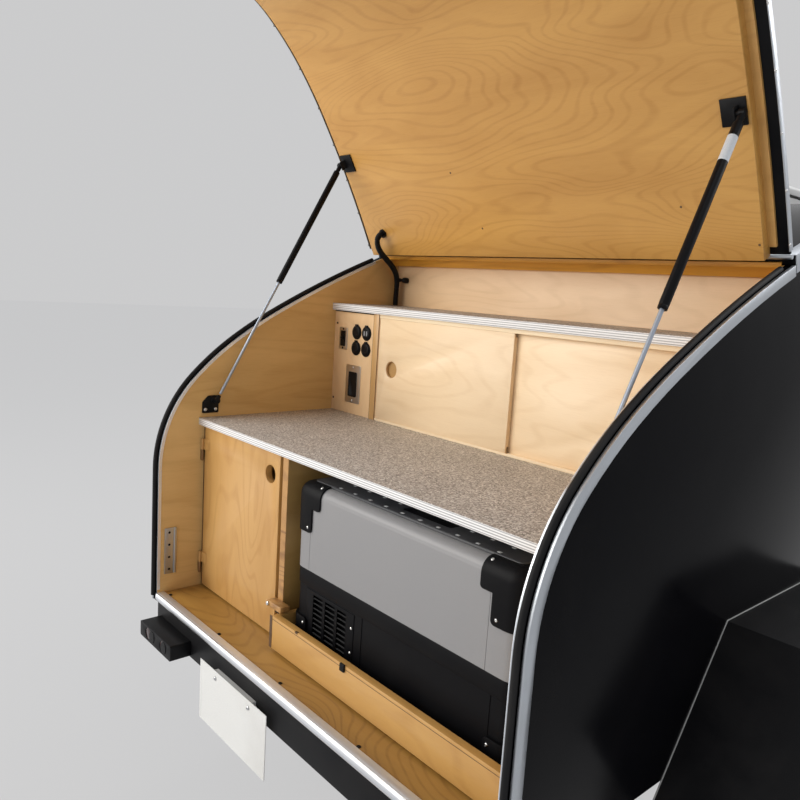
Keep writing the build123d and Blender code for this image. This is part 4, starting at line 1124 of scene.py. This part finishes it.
dressed("cool_box_foot", [skirt, belt, grille, *slats, *lines], case_dark, "fridge_slide")
lid = box((BOX_X[0] + 26, BOX_X[1] - 26), (BOX_Y[0] + 26, BOX_Y[1] - 26), (961.6, 968))
round_edges(lid, along(Z), 12, 5)
round_edges(lid, lambda middle, way: middle.z > 0.9675 and abs(way.z) < 0.5, 3, 3)
combine(lid, "DIFFERENCE", round_edges(box((158, 300), (176, 212), (963, 980)), along(Z), 8, 5))
dressed("cool_box_lid", [lid], lid_dark, "fridge_slide", 30, ("fridge_lid",))
latch = ease(box((162, 296), (180, 208), (962.5, 965.6)), 1.0)
dressed("lid_latch", [latch], case_dark, "fridge_slide")
pip = ease(at_origin(box((-4.2, 4.2), (-3.0, 3.0), (-0.3, 0.8))), 0.4, 1)
pips = [(-23 + 51.2 * count, 159, 968) for count in range(10)]
pips += [(-23 + 51.2 * count, 198, 968) for count in range(10) if count not in (4, 5, 6)]
stamped("lid_pips", pip, facing(UPWARDS, pips), dot_print, "fridge_slide")


def guard(inside, *shapes):
    """The part of a shell round the cool box that the shapes share with it, hollow up to the given shrink."""
    shell = rounded_case(-4, (572.2, 966), BOX_SHOULDER)
    combine(shell, "INTERSECT", combine(shapes[0], "UNION", *shapes[1:]))
    combine(shell, "DIFFERENCE", rounded_case(inside, (570, 960), BOX_SHOULDER))
    return ease(shell, 1.6, 3, 50)


guards = []
places = []
for corner, side in zip(BOX_X, (-1, 1)):
    outer = corner + side * 6
    upper = box((outer, corner - side * 92), (118, 205), (911, 970))
    round_edges(upper, along(Y), 7)
    lower = box((outer, corner - side * 63), (118, 175), (855, 930))
    round_edges(lower, lambda middle, way: abs(way.y) > 0.9 and middle.z < 0.9, 9)
    foot = box((outer, corner - side * 58), (118, 170), (571, 653))
    round_edges(foot, lambda middle, way: abs(way.y) > 0.9 and middle.z > 0.6, 9)
    guards += [guard(2, upper, lower), guard(5, foot)]
    places.append((at(corner - side * 80, 134.8, 962.4), (0, -0.5, 0.866)))
    places += facing(REARWARDS, [(corner - side * 50, 120.8, 866.5), (corner - side * 48, 120.8, 640)])
dressed("cool_box_guards", guards, case_dark, "fridge_slide", 40, ("fridge_guards",))
places += facing(REARWARDS, [(79, 126.1, z) for z in (637, 692)])
stamped("cool_box_screws", small_screw, places, steel, "fridge_slide")

# Latch block's bolt and catch, screws of the floor, the fridge tray's hook, nail heads in the lining

bolt = turned(at(-205, 98, 650), REARWARDS, [(-6, 5.0), (1, 5.6), (3, 5.2), (4.4, 3.4)], 24)
dressed("latch_bolt", [bolt], steel, "root")
hasp = ease(box((-190, -164), (108, 120), (631, 643)), 1.2, 3)
dressed("latch_hasp", [hasp], black_coat, "root")
hook = ease(box((104, 119), (80.5, 86), (623, 640)), 1.5, 3)
dressed("tray_hook", [hook], black_coat, "fridge_slide")
floor_screws = facing(UPWARDS, [(x, 25, 550.0) for x in (-581, -304.5, -28, 248.5, 525)])
stamped("floor_screws", big_screw, floor_screws, seal_rubber, "root")
NAIL = [(-0.4, 2.6), (0.3, 2.6), (0.4, 1.6)]
NAILS = [(440.7, 623.2, 1605.4), (591.0, 659.8, 1533.3), (-172.6, 568.1, 1706.1), (-113.5, 639.6, 1573.6)]
nails = [turned(at(*place), (0, -0.9, -0.44), NAIL, 12) for place in NAILS]
dressed("lining_nails", nails, dark_wood_and_painted_shade, "hatch")

# Tyres with a block tread, wheel nuts and hub caps

TREAD = [
    (72, 345.0), (50, 345.6), (50, 338.5), (44, 338.5), (44, 345.8),
    (20, 346.0), (20, 338.5), (14, 338.5), (14, 346.0),
]
FLANK = [
    (83.2, 186.5), (84, 203), (92, 214), (99, 236), (100.6, 240), (101.8, 262), (102.4, 275), (101.2, 279),
    (101, 300), (95.5, 322), (88, 334), (80, 341),
]
NUT = [(0, 12.5), (2, 12.5), (2.2, 10.4), (14, 10.4), (16.5, 8.0)]
HUB_CAP = [(-6, 34), (2, 34), (5, 31), (6, 22)]
VALVE = [(-6, 5.5), (4, 4.2), (16, 3.6), (17, 3.0)]
half_section = FLANK + TREAD
section = [(-x, radius) for x, radius in half_section] + list(reversed(half_section))


def tread_faces(middle):
    """A test for the blocks' faces on the tyre round middle."""
    return lambda place, way: hypot(place.y - middle.y, place.z - middle.z) > 0.3435 and abs(way.x) < 0.3


for side, word in SIDES:
    middle = at(side * WHEEL_X, *AXLE)
    outwards = (side, 0, 0)
    wheel = BODY_OF["tyre_" + word]
    tyre = spun(section, middle, 60)
    inset(tyre, tread_faces(middle), 2.4, 3.9, single=True)
    dressed("tyre_tread_" + word, [tyre], tyre_rubber, wheel, 30, ("tyre_" + word,))
    nuts = []
    for count in range(5):
        turn = radians(18 + 72 * count)
        spot = middle + Vector((side * 0.0285, 0.057 * cos(turn), 0.057 * sin(turn)))
        nuts.append(turned(spot, outwards, NUT, 6))
    cap = turned(middle + Vector((side * 0.057, 0, 0)), outwards, HUB_CAP, 36)
    inset(cap, outer_face, 4.0, -1.0)
    dressed("wheel_nuts_" + word, [*nuts, cap], zinc, wheel, 25)
    stem = turned(middle + Vector((side * 0.030, 0.093, 0.126)), outwards, VALVE, 14)
    dressed("valve_" + word, [stem], seal_rubber, wheel, 40)

# Painted highlight where the fenders meet the walls: a thin light grey tube along each fold stands for the
# light on that edge

FENDER_FOLD = [(403.6, 470), (636.6, 797), (1123.4, 797), (1356.4, 470)]
highlight_tubes = []
for side in (-1, 1):
    highlight_tubes.append(tube_along([at(side * (HALF_OUT + 0.8), y, z) for y, z in FENDER_FOLD], 1.5))
dressed("fender_painted_highlights", highlight_tubes, fender_highlight_grey, "root", 40)

# Roof vent's lid, the blank plate, lamp rings, door and hatch screws, the jack's grip

vent = merged_copy("vent_lid")
vent_top = max(vertex.co.z for vertex in vent.data.vertices)
inset(vent, lambda place, way: way.z > 0.95 and place.z > vent_top - 0.002, 34, -5)
inset(vent, lambda place, way: way.z > 0.95 and vent_top - 0.006 < place.z < vent_top - 0.004, 26, 4)
ease(vent, 2.0, 3)
dressed("vent_lid_cover", [vent], white_plastic, BODY_OF["vent_lid"], 35, ("vent_lid",))
plate_low, plate_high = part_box("number_plate")
blank = inset(merged_copy("number_plate"), rear_face, 7.0)
plate_middle = (plate_low.x + plate_high.x) / 2
inset(blank, lambda place, way: way.y < -0.9 and abs(place.x - plate_middle) < 0.01, 1.5, -0.8)
dressed("blank_plate", [ease(blank, 0.4)], white_plastic, "root", 35, ("number_plate",))
plate_x = ((plate_low.x * 3 + plate_high.x) / 4, (plate_low.x + plate_high.x * 3) / 4)
plate_bolts = [(Vector((x, plate_low.y - 0.0001, plate_high.z - 0.018)), REARWARDS) for x in plate_x]
stamped("plate_bolts", big_screw, plate_bolts, zinc, "root")
LENS_INNER_X = 0.405
RING = [(-4, 15.5), (1.6, 15.5), (2.6, 14.0), (2.7, 12.0)]
lens_low, lens_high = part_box("tail_lenses")
rings = []
for side in (-1, 1):
    for share in (0.27, 0.73):
        x = side * (abs(lens_high.x) * (1 - share) + LENS_INNER_X * share)
        spot = Vector((x, lens_low.y, (lens_low.z + lens_high.z) / 2))
        rings.append(turned(spot, REARWARDS, RING))
dressed("lamp_rings", rings, black_plastic, "root", 30)
GRIP = [(0, 12.6), (2, 16), (12, 17), (40, 15.5), (70, 17), (94, 16.5), (98, 12.6)]
grip_foot = Vector((0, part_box("jack_tube")[1].y - 0.098, 0.972))
grip = turned(grip_foot, (0, 1, 0), GRIP, 28)
dressed("crank_grip", [grip], black_plastic, BODY_OF["jack_tube"], 40)
WINDOW_SCREWS = [
    (1408, 1030), (1408, 1205), (1408, 1380), (1540, 1028), (1700, 1028),
    (1832, 1030), (1832, 1205), (1832, 1380), (1540, 1382), (1700, 1382),
]
for side, word in SIDES:
    outwards = (side, 0, 0)
    door = BODY_OF["cabin_door_" + word]
    frame_screws = facing(outwards, [(side * (HALF_OUT + 4.9), y, z) for y, z in WINDOW_SCREWS])
    stamped("window_screws_" + word, small_screw, frame_screws, black_coat, door)
    lock_place = at(side * HALF_OUT, 1360, 985)
    lock = turned(lock_place, outwards, [(-1, 11), (3, 11), (4.5, 9.5), (4.6, 6)], 28)
    dressed("door_lock_" + word, [inset(lock, outer_face, 1.0, -1.5)], zinc, door, 30)
trim_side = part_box("hatch_trim")[1].x * 1000 - 0.1
trim_screws = []
for place in range(20, 700, 96):
    y, z, heading = on_edge(place, 9.0)
    if z > 620:
        for side in (-1, 1):
            trim_screws += facing((side, 0, 0), [(side * trim_side, *opened(y, z))])
stamped("hatch_trim_screws", small_screw, trim_screws, steel, "hatch")

# Mattress: a stuffed cover, swollen by a cloth run


def swollen(node, finish, voxel, cap, frames=20):
    """A CAD node's form as a filled cover: remeshed, blown up as cloth, and held within a distance."""
    pad = merged_copy(node)
    low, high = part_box(node)
    middle = (low + high) / 2
    for vertex in pad.data.vertices:
        for axis in (X, Y, Z):
            half = (high[axis] - low[axis]) / 2
            vertex.co[axis] = middle[axis] + (vertex.co[axis] - middle[axis]) * (1 - cap / half)
    apply(pad, "REMESH", mode="VOXEL", voxel_size=voxel)
    before = [vertex.co.copy() for vertex in pad.data.vertices]
    cloth = pad.modifiers.new("cloth", "CLOTH")
    cloth.settings.use_pressure = True
    cloth.settings.uniform_pressure_force = 4.0
    cloth.settings.effector_weights.gravity = 0.0
    cloth.point_cache.frame_start = 1
    cloth.point_cache.frame_end = frames
    for step in range(1, frames + 1):
        scene.frame_set(step)
    only(pad)
    bpy.ops.object.modifier_apply(modifier=cloth.name)
    scene.frame_set(1)
    for vertex, start in zip(pad.data.vertices, before):
        moved = vertex.co - start
        if moved.length > cap:
            vertex.co = start + moved * (cap / moved.length)
        if vertex.co.z < low.z + 0.002:
            vertex.co.z = low.z + 0.001
    dressed(node + "_cover", [pad], finish, BODY_OF[node], 60, (node,))


swollen("mattress", mattress_cover, 0.018, 0.018)

# Floor, light and the end

BACKDROP = (0.60, 0.60, 0.605)
FLOOR_SHARE = 0.87


def seen_share(tree):
    """1 for the rays that show the background: from the camera, mirrored or through glass."""
    rays = tree.nodes.new("ShaderNodeLightPath").outputs
    share = calc("ADD", rays["Is Camera Ray"], rays["Is Glossy Ray"], clamp=True)
    return calc("ADD", share, rays["Is Transmission Ray"], clamp=True)


bpy.ops.mesh.primitive_plane_add(size=60, location=(0, 0, 0))
floor = bpy.context.object
floor.name = "studio_floor"
paper, shader, _ = start_material("studio_floor_paper")
tree = paper.node_tree
set_sockets(shader, {"Base Color": (0.80, 0.80, 0.80), "Specular IOR Level": 0.1, "Roughness": 0.9})
even = add("Emission", {"Color": BACKDROP, "Strength": 1.0}, tree)
share = calc("MULTIPLY", seen_share(tree), FLOOR_SHARE)
mixed = add("MixShader", {0: share, 1: shader.outputs[0], 2: even.outputs[0]})
tree.links.new(mixed.outputs[0], tree.nodes["Material Output"].inputs["Surface"])
floor.data.materials.append(paper)

world = bpy.data.worlds.new("studio")
scene.world = world
world.use_nodes = True
tree = world.node_tree
sky = tree.nodes["Background"]
set_sockets(sky, {"Color": (0.86, 0.88, 0.92), "Strength": 0.62})
pale = add("Background", {"Color": BACKDROP, "Strength": 1.0}, tree)
shown = add("MixShader", {0: seen_share(tree), 1: sky.outputs[0], 2: pale.outputs[0]})
tree.links.new(shown.outputs[0], tree.nodes["World Output"].inputs["Surface"])


def soft_lamp(name, place, target, size, power, colour=(1.0, 1.0, 1.0)):
    """A square area lamp aimed at a point."""
    lamp = bpy.data.lights.new(name, "AREA")
    lamp.size = size
    lamp.energy = power
    lamp.color = colour
    way = Vector(place) - Vector(target)
    linked(name, lamp).matrix_world = Matrix.Translation(place) @ aim(way.normalized())


soft_lamp("key_lamp", (-2.6, -5.4, 2.8), (0.0, -1.2, 1.1), 4.2, 232.0, (1.0, 0.97, 0.92))
soft_lamp("top_lamp", (0.5, -0.5, 5.5), (0.0, -0.5, 0.0), 4.0, 90.0)
soft_lamp("front_lamp", (3.2, 4.9, 5.0), (0.0, 0.5, 0.8), 3.0, 160.0)

scene.view_settings.view_transform = "Standard"

for made in (small_screw, big_screw, pip):
    bpy.data.objects.remove(made)
